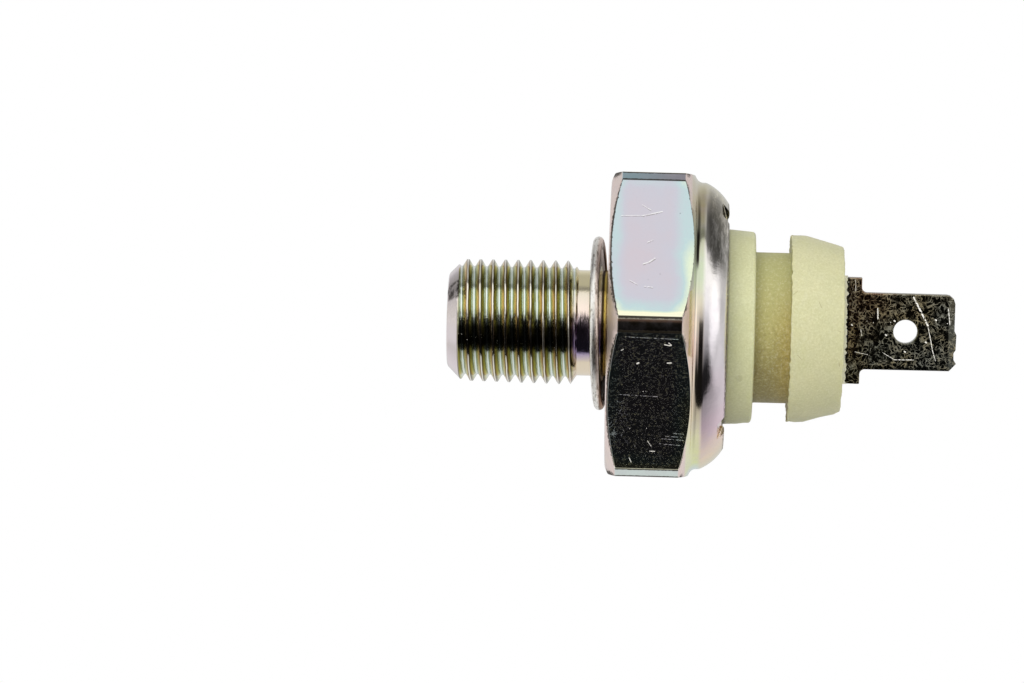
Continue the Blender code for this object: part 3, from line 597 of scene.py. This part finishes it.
def chamfered_drill():
    """A rod as wide as the tab's hole, which widens outside the tab and takes the hole's rims off."""
    wide = HOLE_RADIUS + HOLE_CHAMFER
    depth = BLADE_HALF - 0.03
    flare = 1.0 - depth
    half = [(HOLE_RADIUS, depth - HOLE_CHAMFER), (wide, depth), (wide + flare, 1.0), (0.0, 1.0)]
    drill = turned([(radius, -away) for radius, away in reversed(half)] + half, closed=False, steps=64)
    bmesh.ops.transform(drill, verts=drill.verts, matrix=Matrix.Translation((0.0, 0.0, HOLE_CENTRE))
                        @ Matrix.Rotation(pi / 2, 4, 'X'))
    return drill


# ---- finishes ----------------------------------------------------------------------------------

PINK = (0.65, 0.565, 0.61)
LAVENDER = (0.60, 0.595, 0.665)
CYAN = (0.54, 0.69, 0.70)
PALE_GREEN = (0.76, 0.86, 0.66)
STRAW = (0.96, 0.95, 0.70)


class Plating(Finish):
    """Turned and drawn steel under zinc with an iridescent passivate. Its methods each give the
    colour of one region of the body, or masks of marks, wear and painted light and shade on it."""

    def __init__(self):
        super().__init__("iridescent_zinc_plating", Metallic=1.0)
        up, front = self.up, self.back * -1.0
        east, north = cos(radians(30)), sin(radians(30))
        self.flat_reach = up.size().most((front * east + up * north).size()).most(
            (front * -east + up * north).size())
        self.on_flat = self.flat_reach.rise(11.975, 11.99)
        self.on_front_flat = self.on_flat * front.rise(0.0, 0.1)
        self.on_lower_face = self.on_front_flat * up.fall(-0.6, 0.0)
        self.on_thread = self.along.band(0.9, 10.1, 0.12) * self.radius.fall(5.0, 5.3)
        self.ragged = self.place.grain(5.0, 3.0, 0.7)
        self.fine_clouds = self.place.grain(1.1, 3.0, 0.6)
        self.drift = (self.place.grain(0.22, 3.0, 0.55) - 0.5) * 1.1 + (self.fine_clouds - 0.5) * 0.08

    def flats(self):
        """The film on the flats: pink and lavender, then blue, green and straw towards the edges."""
        along = self.along
        beside = (self.turn / radians(60)).math('FLOORED_MODULO', 1.0) * 60.0 - 30.0
        film = (0.16 + self.drift * 0.55 + self.place.grain(6.0, 2.0) * 0.12
                + along.rise(17.4, 18.8) * 0.34 + along.fall(13.3, 14.4) * 0.30
                + along.rise(18.4, 19.3) * beside.fall(-14.0, 14.0) * 0.34
                + beside.fall(-25.5, -19.0) * 0.34 + beside.fall(-26.6, -25.0) * 0.60
                + beside.rise(23.0, 27.0) * 0.16)
        return film.ramp((0.0, PINK), (0.32, LAVENDER), (0.58, CYAN), (0.82, PALE_GREEN), (1.0, STRAW))

    def corner_bands(self):
        """The blank's round surface that is left at the six corners. Near the axis's level it has a painted
        reflection:
        black below, brown above and a painted cream highlight on top.
        """
        up = self.up
        colour = self.along.rise(13.6, 18.6).over((0.40, 0.58, 0.64), (0.44, 0.42, 0.48))
        colour = up.fall(-6.0, -2.0).over(colour, (0.74, 0.84, 0.80))
        # Painted reflection near the axis's level: black, brown, then a cream highlight
        dark = up.rise(0.1, 0.3).over((0.06, 0.05, 0.035), (0.34, 0.20, 0.13))
        return up.size().fall(1.2, 2.4).over(colour, up.rise(0.34, 0.48).over(dark, (0.98, 0.94, 0.76)))

    def turned_parts(self):
        """From the lower chamfer over the corner bands and the collar's root to the rolled dome.
        The root's and the dome's colours follow the climb: film tints with painted highlights and a painted
        darker upper side.
        """
        along, drift = self.along, self.drift
        chamfer = (drift + 0.5).ramp(
            (0.1, (0.94, 0.72, 0.64)), (0.45, (0.96, 0.78, 0.72)), (0.8, (0.92, 0.84, 0.76)))
        # Film tints by climb, with painted highlights and painted shade on the upper side
        root = (self.climb / pi + 0.5 + drift * 0.2).ramp(
            (0.0, (0.60, 0.84, 0.84)), (0.10, (0.80, 0.86, 0.40)), (0.24, (0.88, 0.84, 0.56)),
            (0.42, (0.95, 0.74, 0.62)), (0.62, (0.62, 0.70, 0.50)), (0.80, (0.56, 0.47, 0.30)),
            (1.0, (0.60, 0.58, 0.32)))
        dome = (self.climb / pi + 0.5 + drift * 0.16).ramp(
            (0.0, (0.80, 0.76, 0.40)), (0.12, (0.90, 0.72, 0.52)), (0.26, (0.80, 0.62, 0.70)),
            (0.40, (0.80, 0.74, 0.78)), (0.50, (0.84, 0.80, 0.82)), (0.60, (0.97, 0.93, 0.90)),
            (0.74, (0.92, 0.88, 0.80)), (0.84, (0.66, 0.60, 0.48)), (0.95, (0.62, 0.58, 0.36)))
        colour = along.rise(13.62, 13.72).over(chamfer, self.corner_bands())
        colour = along.rise(18.6, 18.7).over(colour, chamfer)
        colour = (along.rise(19.1, 19.3) * self.radius.fall(12.7, 12.9)).over(colour, root)
        colour = along.rise(20.1, 20.5).over(colour, dome)
        return (self.fine_clouds.rise(0.35, 0.75) * 0.25).over(colour, (0.66, 0.60, 0.66))

    def nose(self):
        """Tip, thread and neck. The thread's colours follow the groove: its phase is 0 at the root.
        They paint highlights on the crest and in the root and dark lines beside them, and give the flanks
        unlike tints.
        """
        wander = (self.place.grain(0.8, 2.0) - 0.5) * 0.10
        phase = ((self.along - GROOVE_START) / PITCH + self.turn / (2 * pi) + wander).math(
            'FLOORED_MODULO', 1.0)
        # Painted highlights on the crest and in the root, painted shade beside them
        thread = phase.ramp(
            (0.0, (0.84, 0.92, 0.90)), (0.05, (0.80, 0.90, 0.82)), (0.10, (0.20, 0.19, 0.07)),
            (0.22, (0.60, 0.56, 0.20)), (0.33, (0.86, 0.60, 0.26)), (0.42, (0.20, 0.13, 0.07)),
            (0.475, (1.0, 0.96, 0.86)), (0.525, (1.0, 0.96, 0.86)), (0.565, (0.10, 0.08, 0.04)),
            (0.64, (0.22, 0.20, 0.08)), (0.72, (0.66, 0.66, 0.26)), (0.82, (0.80, 0.88, 0.74)),
            (1.0, (0.84, 0.92, 0.90)))
        tip = self.drift.rise(-0.35, 0.45).over((0.84, 0.76, 0.82), (0.88, 0.80, 0.72))
        neck = (self.climb / pi + 0.5 + self.drift * 0.1).ramp(
            (0.24, (0.92, 0.80, 0.62)), (0.33, (0.62, 0.50, 0.86)), (0.48, (0.60, 0.44, 0.60)),
            (0.56, (0.96, 0.80, 0.70)), (0.70, (0.84, 0.76, 0.62)), (0.76, (0.90, 0.81, 0.52)))
        return self.on_thread.over(self.along.rise(5.0, 6.0).over(tip, neck), thread)

    def painted_shade_behind_washer(self):
        """Painted shade on the end of the neck behind the washer, with a painted gold highlight in its
        corner.
        """
        return ((self.along - 12.2) / 0.6).ramp(
            (0.0, (0.05, 0.04, 0.02)), (0.40, (0.08, 0.05, 0.02)), (0.52, (0.92, 0.72, 0.16)),
            (0.64, (0.95, 0.80, 0.24)), (0.76, (0.26, 0.15, 0.05)), (1.0, (0.12, 0.08, 0.04)))

    def burrs_and_rim_shade(self):
        """Dark ragged edges: burrs round the flats and along the corner bands, and painted shade on the lip's
        rim where it meets the cap.
        """
        along, radius, reach = self.along, self.radius, self.flat_reach
        ragged = self.ragged - 0.5
        beside_flats = (reach + ragged * 1.1 - (radius - 12.4).most(0.0) * 0.3).rise(11.56, 11.68)
        beside_flats = beside_flats * reach.fall(11.96, 11.99) * along.band(12.9, 19.0, 0.1)
        beside_flats = beside_flats * radius.fall(13.46, 13.475)
        chamfer_edge = ((along - 12.845) * 2.19 + 11.6).least((along * -1.9) + 49.01)
        on_flats = self.on_flat * (chamfer_edge - radius + ragged * 0.9).fall(-0.02, 0.05)
        on_flats = on_flats * self.up.rise(0.0, 0.2)
        bands = (reach + ragged * 0.12).rise(11.88, 11.91) * (1 - self.on_flat) * radius.rise(13.46, 13.475)
        # Painted shade on the lip's rim, broken up by the ragged noise
        rim = along.rise(22.06, 22.14) * radius.rise(9.1, 9.15) * self.ragged.rise(0.35, 0.55)
        return beside_flats.most(on_flats).most(bands).most(rim * 0.8)

    def upper_scratches(self):
        """The lit and the shaded side of the scratches on the upper face."""
        drop = 0.07
        below = [((start[0] + drop * 0.2, start[1] - drop), (end[0] + drop * 0.2, end[1] - drop), width)
                 for start, end, width in UPPER_FACE_SCRATCHES]
        broken = self.place.grain(6.0, 3.0, 0.7).rise(0.36, 0.52)
        light = self.scratches(UPPER_FACE_SCRATCHES) * self.on_front_flat * broken * 0.75
        return light, self.scratches(below) * self.on_front_flat * broken

    def lower_marks(self):
        """The bright marks and the dotted lines on the lower face."""
        dotted = self.place.grain(7.0, 2.0, 0.7).rise(0.46, 0.58)
        lines = self.scratches(LOWER_FACE_DOTTED_LINES) * dotted * 0.4
        return self.scratches(LOWER_FACE_MARKS).most(lines) * self.on_lower_face

    def lower_wear_and_glints(self):
        """Masks on the lower face: painted glints, a pale grain in place of the glints off its relief, and
        the fine wear: curls, specks and pepper.
        """
        place, here = self.place, self.on_lower_face
        brushed = place.stretched(0.4, 1.0, 1.4).grain(5.0, 3.0, 0.7).rise(0.54, 0.76) * 0.7
        painted_glints = place.grain(5.5, 2.0, 0.6).rise(0.50, 0.72).most(brushed) * here
        curls = (place.lines(2.2, 0.04) * self.along.fall(13.6, 15.2) * self.up.band(-9.2, -6.0, 0.6)
                 * here * place.grain(3.0, 3.0).rise(0.4, 0.6))
        specks = self.chosen_cells(2.4, 0.05, 0.12, 1, 0.90, 0.93) * here
        pepper = self.chosen_cells(5.0, 0.06, 0.18, 0, 0.50, 0.70) * here
        return painted_glints, curls, specks, pepper * place.grain(1.5, 3.0).rise(0.36, 0.60)

    def painted_dome_shade(self):
        """Painted shade: a grey cloud on the upper side of the dome."""
        uneven = self.along.joined(self.radius, self.turn * 2.4).grain(2.6, 4.0, 0.75).rise(0.34, 0.56)
        return (self.turn.band(0.45, 1.30, 0.16) * self.along.rise(20.35, 20.8)
                * self.radius.rise(9.2, 9.5) * uneven)

    def painted_shade_lines(self):
        """Painted shade: a streaky dark band on the front of the thread and neck, the thread's shaded side
        below it, a dark line in the dome's root and a dark patch high on the tip.
        """
        along, turn = self.along, self.turn
        root_line = along.band(19.64, 19.86, 0.03) * turn.band(0.42, 0.70, 0.05)
        on_neck = along.band(10.1, 11.6, 0.1) * self.radius.fall(4.8, 5.0)
        dark_band_shade = (turn.band(-0.14, 0.16, 0.10) * self.on_thread.most(on_neck)
                 * along.joined(turn * 0.8, self.radius).grain(5.5, 3.0, 0.75).rise(0.46, 0.60))
        shadow = turn.band(-0.46, -0.08, 0.05) * self.on_thread * 0.7
        tip_shade = along.fall(0.95, 1.2) * turn.band(0.40, 0.78, 0.04) * (
            self.place.stretched(1.0, 1.0, 0.4).grain(2.6, 3.0, 0.7).rise(0.44, 0.54))
        return (root_line * 0.95).most(dark_band_shade * 0.9).most(shadow).most(tip_shade * 0.8)

    def relief(self, nicks, marks):
        """Drawn lines on the flats. Turning lines, wrinkles and a fine hammer elsewhere."""
        along, radius, turn, place = self.along, self.radius, self.turn, self.place
        drawn = place.stretched(0.2, 1.0, 1.0).grain(9.0, 5.0, 0.7)
        rings = along.joined(radius, turn * 0.15).grain(14.0, 4.0, 0.75)
        streaks = along.joined(radius * 0.2, turn * 2.2).grain(12.0, 3.0, 0.6) * radius.fall(5.1, 5.3)
        wrinkles = (along * 0.5).joined(radius * 0.5, turn * 11.0).grain(2.4, 3.0, 0.6)
        wrinkles = wrinkles * along.band(20.6, 22.1, 0.2) * radius.rise(9.2, 9.4)
        hammer = place.grain(5.0, 4.0, 0.65)
        turned_relief = rings * 0.8 + hammer * 0.3 + wrinkles * 2.6 + streaks * 1.6
        flat_relief = drawn * 0.25 + hammer * 0.25 - nicks * 3.0 - marks * 3.0
        return self.on_flat * flat_relief + (1 - self.on_flat) * turned_relief


def plated_body():
    """Lays the regions of the plating over each other, then the wear and the painted light and shade over
    them.
    """
    skin = Plating()
    along, radius = skin.along, skin.radius
    colour = skin.on_flat.over(skin.turned_parts(), skin.flats())
    colour = radius.fall(5.2, 5.4).over(colour, skin.nose())
    # Painted shade on the neck behind the washer, with a painted gold highlight
    colour = (along.rise(12.2, 12.3) * radius.fall(5.0, 5.4)).over(colour, skin.painted_shade_behind_washer())
    # Painted shade inside the cup
    colour = (radius.fall(9.10, 9.16) * along.rise(14.0, 14.5)).over(colour, (0.30, 0.28, 0.24))

    burr_and_rim_shade = skin.burrs_and_rim_shade()
    nicks = skin.chosen_cells(1.3, 0.03, 0.07, 0, 0.70, 0.74) * skin.on_flat
    dings = skin.chosen_cells(4.5, 0.06, 0.14, 2, 0.84, 0.88) * skin.on_thread
    light, shade = skin.upper_scratches()
    marks = skin.lower_marks()
    painted_glints, curls, specks, pepper = skin.lower_wear_and_glints()
    # Dark burrs and nicks, and the painted shade on the lip's rim
    colour = (nicks * 0.5).most(burr_and_rim_shade * 0.95).over(colour, (0.06, 0.05, 0.035))
    colour = (shade * 0.7).over(colour, (0.22, 0.20, 0.18))
    colour = light.over(colour, (1.0, 1.0, 0.98))
    # Painted glints: a pale grain on the lower face
    colour = painted_glints.over(colour, (0.48, 0.45, 0.26))
    # Painted shade on the upper side of the dome
    colour = (skin.painted_dome_shade() * 0.72).over(colour, (0.20, 0.19, 0.15))
    # Painted shade on the front of the nose, in the dome's root and on the tip
    colour = skin.painted_shade_lines().over(colour, (0.05, 0.04, 0.03))
    dots = dings.most(specks).most(marks)
    pale = dots.most(painted_glints * 0.12).most(curls * 0.26).most(pepper * 0.24)
    colour = dots.most(curls * 0.30).most(pepper * 0.35).over(colour, (0.92, 0.88, 0.78))

    chamfers = (along.fall(13.6, 13.72) * along.rise(12.82, 12.9)).most(along.band(18.7, 19.2, 0.05))
    roughness = 0.03 + skin.place.grain(2.4, 4.0, 0.6) * 0.05 + (1 - skin.on_flat) * 0.06
    roughness = roughness + chamfers * radius.rise(11.0, 11.4) * (1 - skin.on_flat) * 0.22
    roughness = roughness + marks * 0.25 + nicks * 0.3 + dings * 0.3 + burr_and_rim_shade * 0.3
    return skin.wear(height=skin.relief(nicks, marks), depth=0.004, Base_Color=colour,
                     Roughness=roughness, Metallic=1 - pale * 0.8)


def washer_metal():
    """Bright plated sheet, rolled and folded, with painted shade in the fold next to the hexagon."""
    skin = Finish("plated_sheet", Metallic=1.0)
    clouds = skin.place.grain(0.9, 4.0, 0.6)
    leaf = skin.along.rise(12.15, 12.35)
    colour = clouds.ramp((0.25, (0.84, 0.81, 0.74)), (0.5, (1.0, 0.98, 0.94)), (0.8, (0.94, 0.91, 0.80)))
    streaks = (skin.along * 2.0).joined(skin.radius * 1.0, skin.turn * 3.0).grain(3.0, 4.0, 0.75)
    colour = (streaks.fall(0.36, 0.50) * 0.75).over(colour, (0.22, 0.19, 0.14))
    # Painted shade in the fold next to the hexagon
    colour = (skin.along.band(12.22, 12.40, 0.04) * 0.85).over(colour, (0.05, 0.04, 0.03))
    leaf_colour = clouds.ramp((0.3, (0.30, 0.19, 0.07)), (0.7, (0.22, 0.14, 0.10)))
    colour = leaf.over(colour, leaf_colour)
    relief = skin.place.grain(9.0, 5.0, 0.7) + skin.along.joined(skin.radius, skin.turn * 1.2).grain(6.0, 3.0)
    return skin.wear(height=relief, depth=0.012, Base_Color=colour,
                     Roughness=0.24 + skin.place.grain(4.0, 3.0) * 0.16)


def nylon():
    """Natural nylon, moulded: creamy and slightly see-through, with a fine satin skin, and painted shade in
    its groove and at the lip.
    """
    skin = Finish("natural_nylon", Subsurface_Weight=0.35, Subsurface_Radius=(1.0, 0.9, 0.45),
                  Subsurface_Scale=0.0012, IOR=1.53)
    along, up, radius = skin.along, skin.up, skin.radius
    clouds = skin.place.grain(0.45, 3.0, 0.55)
    speckle = skin.place.grain(6.0, 3.0, 0.75)
    groove = along.band(24.35, 27.3, 0.12) * radius.fall(7.2, 7.5)
    flange = along.fall(24.3, 24.5)
    cream = clouds.ramp((0.3, (0.58, 0.57, 0.33)), (0.7, (0.62, 0.60, 0.36)))
    green = clouds.ramp((0.3, (0.58, 0.585, 0.33)), (0.7, (0.62, 0.625, 0.375)))
    # The groove is olive, with painted shade darkening it towards its lower side
    groove_olive_shaded = (up.rise(-6.0, 6.0) * 0.7 + clouds * 0.3).ramp(
        (0.15, (0.30, 0.25, 0.085)), (0.5, (0.42, 0.38, 0.13)), (0.85, (0.44, 0.43, 0.18)))
    colour = groove.over(flange.over(cream, green), groove_olive_shaded)
    colour = along.rise(31.52, 31.62).over(colour, (0.88, 0.85, 0.62))
    # Painted shade where the cap's foot goes into the lip
    lip_gap_shade = along.fall(22.18, 22.40) * 0.9
    colour = lip_gap_shade.over(colour, (0.13, 0.12, 0.05))
    amber = groove * along.rise(25.6, 27.2) * up.fall(-3.0, 5.0) * 0.6
    colour = amber.over(colour, (0.46, 0.34, 0.07))
    coarse = groove * up.fall(-3.0, 4.0) * 0.6 + 0.22
    sparkle = skin.place.grain(3.6, 3.0, 0.7)
    colour = (speckle.rise(0.50, 0.66) * 0.24).over(colour, (0.84, 0.84, 0.64))
    colour = (speckle.fall(0.36, 0.50) * 0.20).over(colour, (0.40, 0.38, 0.17))
    colour = (sparkle.fall(0.36, 0.50) * groove * coarse * 0.5).over(colour, (0.24, 0.20, 0.07))
    colour = (sparkle.rise(0.54, 0.66) * groove * coarse * 0.3).over(colour, (0.74, 0.66, 0.36))
    gate = ((along - 23.25) ** 2.0 + (up + 4.05) ** 2.0) ** 0.5
    front = (skin.back * -1.0).rise(0.0, 0.2)
    mould_mark = gate.fall(0.20, 0.34) * front
    colour = (mould_mark * 0.28).over(colour, (0.38, 0.36, 0.18))
    marks = skin.scratches(CAP_MARKS) * front
    colour = (marks * 0.55).over(colour, (0.30, 0.24, 0.10))
    flow = skin.place.stretched(0.4, 1.0, 1.0).grain(3.0, 4.0, 0.6)
    relief = speckle * 0.5 + flow * 0.8 + groove * skin.place.grain(7.0, 4.0, 0.7) * 1.2 - mould_mark * 0.8
    return skin.wear(height=relief, depth=0.012, Base_Color=colour,
                     Roughness=0.40 + flow * 0.12 + groove * 0.08)


def tab_metal():
    """Plated strip, dull, with the fine swirls that tumbling leaves, and painted shade along its lower edge
    and its foot.
    """
    skin = Finish("tumbled_plated_strip")
    along, up = skin.along, skin.up
    tarnish = skin.place.grain(0.35, 4.0, 0.6)
    colour = (tarnish * 0.6 + along.fall(31.5, 38.5) * 0.30 + up.rise(-2.5, 3.0) * 0.22).ramp(
        (0.30, (0.13, 0.14, 0.12)), (0.55, (0.15, 0.13, 0.08)), (0.85, (0.21, 0.10, 0.06)))
    bend = skin.place.bent(2.0, 0.22)
    swirls = bend.lines(2.5, 0.070).most(bend.stretched(1.4, 1.0, 1.4).lines(2.3, 0.065) * 0.8)
    swirls = swirls.most(skin.place.lines(1.1, 0.025))
    swirls = swirls * skin.place.grain(1.8, 3.0, 0.7).rise(0.36, 0.58)
    dust = skin.chosen_cells(2.2, 0.05, 0.11, 1, 0.84, 0.88)
    dashes = skin.place.grain(7.0, 1.0).rise(0.36, 0.48)
    spots = [(spot, (spot[0] + 0.06, spot[1] - 0.04), 0.15) for spot in TAB_SPOTS]
    marks = (skin.scratch(*TAB_DASHED_LINE) * dashes).most(
        skin.scratches(TAB_SCRATCHES) * dashes.most(0.55)).most(skin.scratches(spots))
    front = (skin.back * -1.0).rise(-0.2, 0.1)
    marks = marks * front
    swirl_colour = tarnish.ramp((0.4, (0.46, 0.46, 0.38)), (0.6, (0.50, 0.42, 0.24)))
    colour = (swirls * 0.72).over(colour, swirl_colour)
    # Painted shade along the tab's lower edge and at its foot beside the flash ridge
    lower_edge_shade = up.fall(-2.98, -2.88) * along.rise(33.4, 33.6)
    painted_edge_shade = lower_edge_shade.most(along.fall(31.95, 32.08)) * front
    colour = (painted_edge_shade * 0.9).over(colour, (0.02, 0.02, 0.015))
    pale = dust.most(marks)
    colour = pale.over(colour, (1.0, 0.97, 0.90))
    rough = 0.13 + skin.place.grain(3.0, 3.0) * 0.05 + swirls * 0.20
    relief = skin.place.grain(8.0, 5.0, 0.7) * 0.7 - swirls * 0.4 - marks * 1.0
    return skin.wear(height=relief, depth=0.010, Base_Color=colour, Roughness=rough,
                     Metallic=1 - (pale * 0.9).most(swirls * 0.36))


def plain_finish(name, dark, light, roughness, metallic=0.0, scale=1.5, lines=False):
    """An inner piece's finish: two shades clouded together and a fine relief."""
    skin = Finish(name, Metallic=metallic)
    where = skin.along.joined(skin.radius, skin.turn * 0.2) if lines else skin.place
    clouds = where.grain(scale, 4.0, 0.6)
    return skin.wear(height=where.grain(scale * 5, 4.0, 0.65), depth=0.008,
                     Base_Color=clouds.ramp((0.3, dark), (0.7, light)), Roughness=roughness + clouds * 0.12)


def dress(finish, *nodes):
    for name in nodes:
        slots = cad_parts[name].data.materials
        slots.clear()
        slots.append(finish)


piece("fine_hex_body", hex_body(), plated_body(), "hex_body", sharp=24)
piece("fine_sealing_washer", sealing_washer(), washer_metal(), "sealing_washer")
piece("fine_insulator_cap", insulator_cap(), nylon(), "insulator_cap")
piece("fine_terminal_blade", terminal_blade(), tab_metal(), "terminal_blade")

dress(plain_finish("stamped_brass", (0.66, 0.47, 0.20), (0.84, 0.66, 0.34), 0.22, 1.0),
      "spring_seat", "contact_disc")
dress(plain_finish("drawn_wire", (0.42, 0.42, 0.42), (0.62, 0.61, 0.58), 0.22, 1.0, 3.0), "contact_spring")
dress(plain_finish("stamped_plate", (0.52, 0.51, 0.48), (0.68, 0.67, 0.64), 0.26, 1.0, 1.5, True),
      "support_ring")
dress(plain_finish("brown_phenolic", (0.12, 0.055, 0.028), (0.20, 0.10, 0.05), 0.42), "plunger")
dress(plain_finish("amber_film", (0.52, 0.22, 0.03), (0.66, 0.32, 0.05), 0.22), "diaphragm")
dress(plain_finish("black_rubber", (0.012, 0.012, 0.012), (0.03, 0.03, 0.03), 0.55), "seal_ring")


# ---- floor, light and camera -------------------------------------------------------------------

# The studio's brightest level, and how far the photo shows the sender's axis turned, in degrees
PEAK = 1.25
PHOTO_TILT = 1.5


def levels(*stops):
    """Stops of a grey ramp over the turn round the X axis: (degrees up from the front, light)."""
    return [((degrees + 180) / 360, (light / PEAK,) * 3) for degrees, light in stops]


def floor():
    """A white sheet. Metal mirrors the studio's own levels below it instead of the sheet."""
    bm = bmesh.new()
    bmesh.ops.create_circle(bm, cap_ends=True, segments=96, radius=1.5)
    bmesh.ops.translate(bm, vec=(0.0, 0.0, -0.00003), verts=bm.verts)
    sheet = as_object(bm, "floor_sheet")
    material = bpy.data.materials.new("white_sheet")
    material.use_nodes = True
    tree = material.node_tree
    tree.nodes.clear()
    start = Signal(tree)
    seen = start.node("LightPath", output="Is Camera Ray")
    paper = start.node("BsdfDiffuse", None, {"Color": (0.86, 0.86, 0.86, 1.0)})
    clean = start.node("Emission", None, {"Color": (1.0, 1.0, 1.0, 1.0), "Strength": 1.0})
    shown = start.node("MixShader", None, {0: seen, 1: paper, 2: clean})
    start.node("OutputMaterial", None, {"Surface": shown})
    sheet.visible_glossy = False
    sheet.data.materials.append(material)


def surroundings():
    """The studio: a soft panel high in front, white walls at both ends, dark below the panel in front,
    a white table under and behind, and a dim room above. Its levels differ ahead and to the sides."""
    world = bpy.data.worlds.new("studio")
    bpy.context.scene.world = world
    world.use_nodes = True
    tree = world.node_tree
    tree.nodes.clear()
    start = Signal(tree)
    seen = start.node("LightPath", output="Is Camera Ray")
    across, away, rise = start.node("TexCoord", output="Generated").split()
    round_x = rise.math('ARCTAN2', away * -1.0) / (2 * pi) + 0.5
    side = across.size()
    ahead = round_x.ramp(*levels(
        (-180, 0.66), (-150, 0.74), (-100, 0.74), (-75, 0.54), (-70, 0.42), (-69, 0.008), (-14, 0.008),
        (-4, 0.03), (3, 0.10), (5, 0.50), (11, 0.72), (18, 0.94), (30, 1.08), (66, 1.02), (73, 0.86),
        (75.5, 0.26), (82, 0.28), (90, 0.50), (125, 0.50), (150, 0.70), (180, 0.66)))
    oblique = round_x.ramp(*levels(
        (-180, 0.82), (-140, 0.74), (-90, 0.40), (-76, 0.30), (-71, 0.012), (-42, 0.015), (-30, 0.20),
        (-12, 0.50), (8, 0.74), (20, 0.98), (66, 1.02), (74, 0.70), (80, 0.16), (112, 0.10), (130, 0.24),
        (150, 0.45), (165, 0.74), (180, 0.82)))
    ends = round_x.ramp(*levels(
        (-180, 0.66), (-140, 0.76), (-95, 0.78), (-66, 0.66), (-45, 0.86), (-15, 1.16), (30, 1.24),
        (66, 1.20), (92, 0.92), (118, 0.56), (150, 0.56), (180, 0.66)))
    outward = side.rise(0.25, 0.55).over(ahead, oblique)
    studio = side.rise(0.85, 0.93).over(outward, ends)
    level = start.node("Background", None, {"Color": studio, "Strength": PEAK})
    clean = start.node("Background", None, {"Color": (1.0, 1.0, 1.0, 1.0), "Strength": 1.0})
    mixed = start.node("MixShader", None, {0: seen, 1: level, 2: clean})
    start.node("OutputWorld", None, {"Surface": mixed})


def lamp(name, place, size, power):
    """A soft panel that faces the sender and lights it, but doesn't mirror in it."""
    data = bpy.data.lights.new(name, 'AREA')
    data.shape = 'SQUARE'
    data.size = size
    data.energy = power
    obj = bpy.data.objects.new(name, data)
    bpy.context.scene.collection.objects.link(obj)
    obj.location = place
    obj.rotation_euler = (Vector((0.0, 0.0, 0.012)) - Vector(place)).to_track_quat('-Z', 'Y').to_euler()
    obj.visible_glossy = False


def camera():
    data = bpy.data.cameras.new("camera")
    data.sensor_width = 36.0
    data.lens = 158.0
    data.shift_x = -0.154
    data.shift_y = -0.016
    data.clip_start = 0.01
    data.clip_end = 10.0
    obj = bpy.data.objects.new("camera", data)
    bpy.context.scene.collection.objects.link(obj)
    obj.location = (-0.00265, -0.36, 0.012)
    level_view = Matrix.Rotation(radians(90), 4, 'X')
    obj.rotation_euler = (level_view @ Matrix.Rotation(radians(PHOTO_TILT), 4, 'Z')).to_euler()
    bpy.context.scene.camera = obj


floor()
surroundings()
lamp("front_panel", (-0.10, -0.42, 0.14), 0.30, 1.0)
lamp("top_panel", (0.12, 0.10, 0.50), 0.35, 0.3)
camera()
bpy.context.scene.view_settings.view_transform = 'Standard'
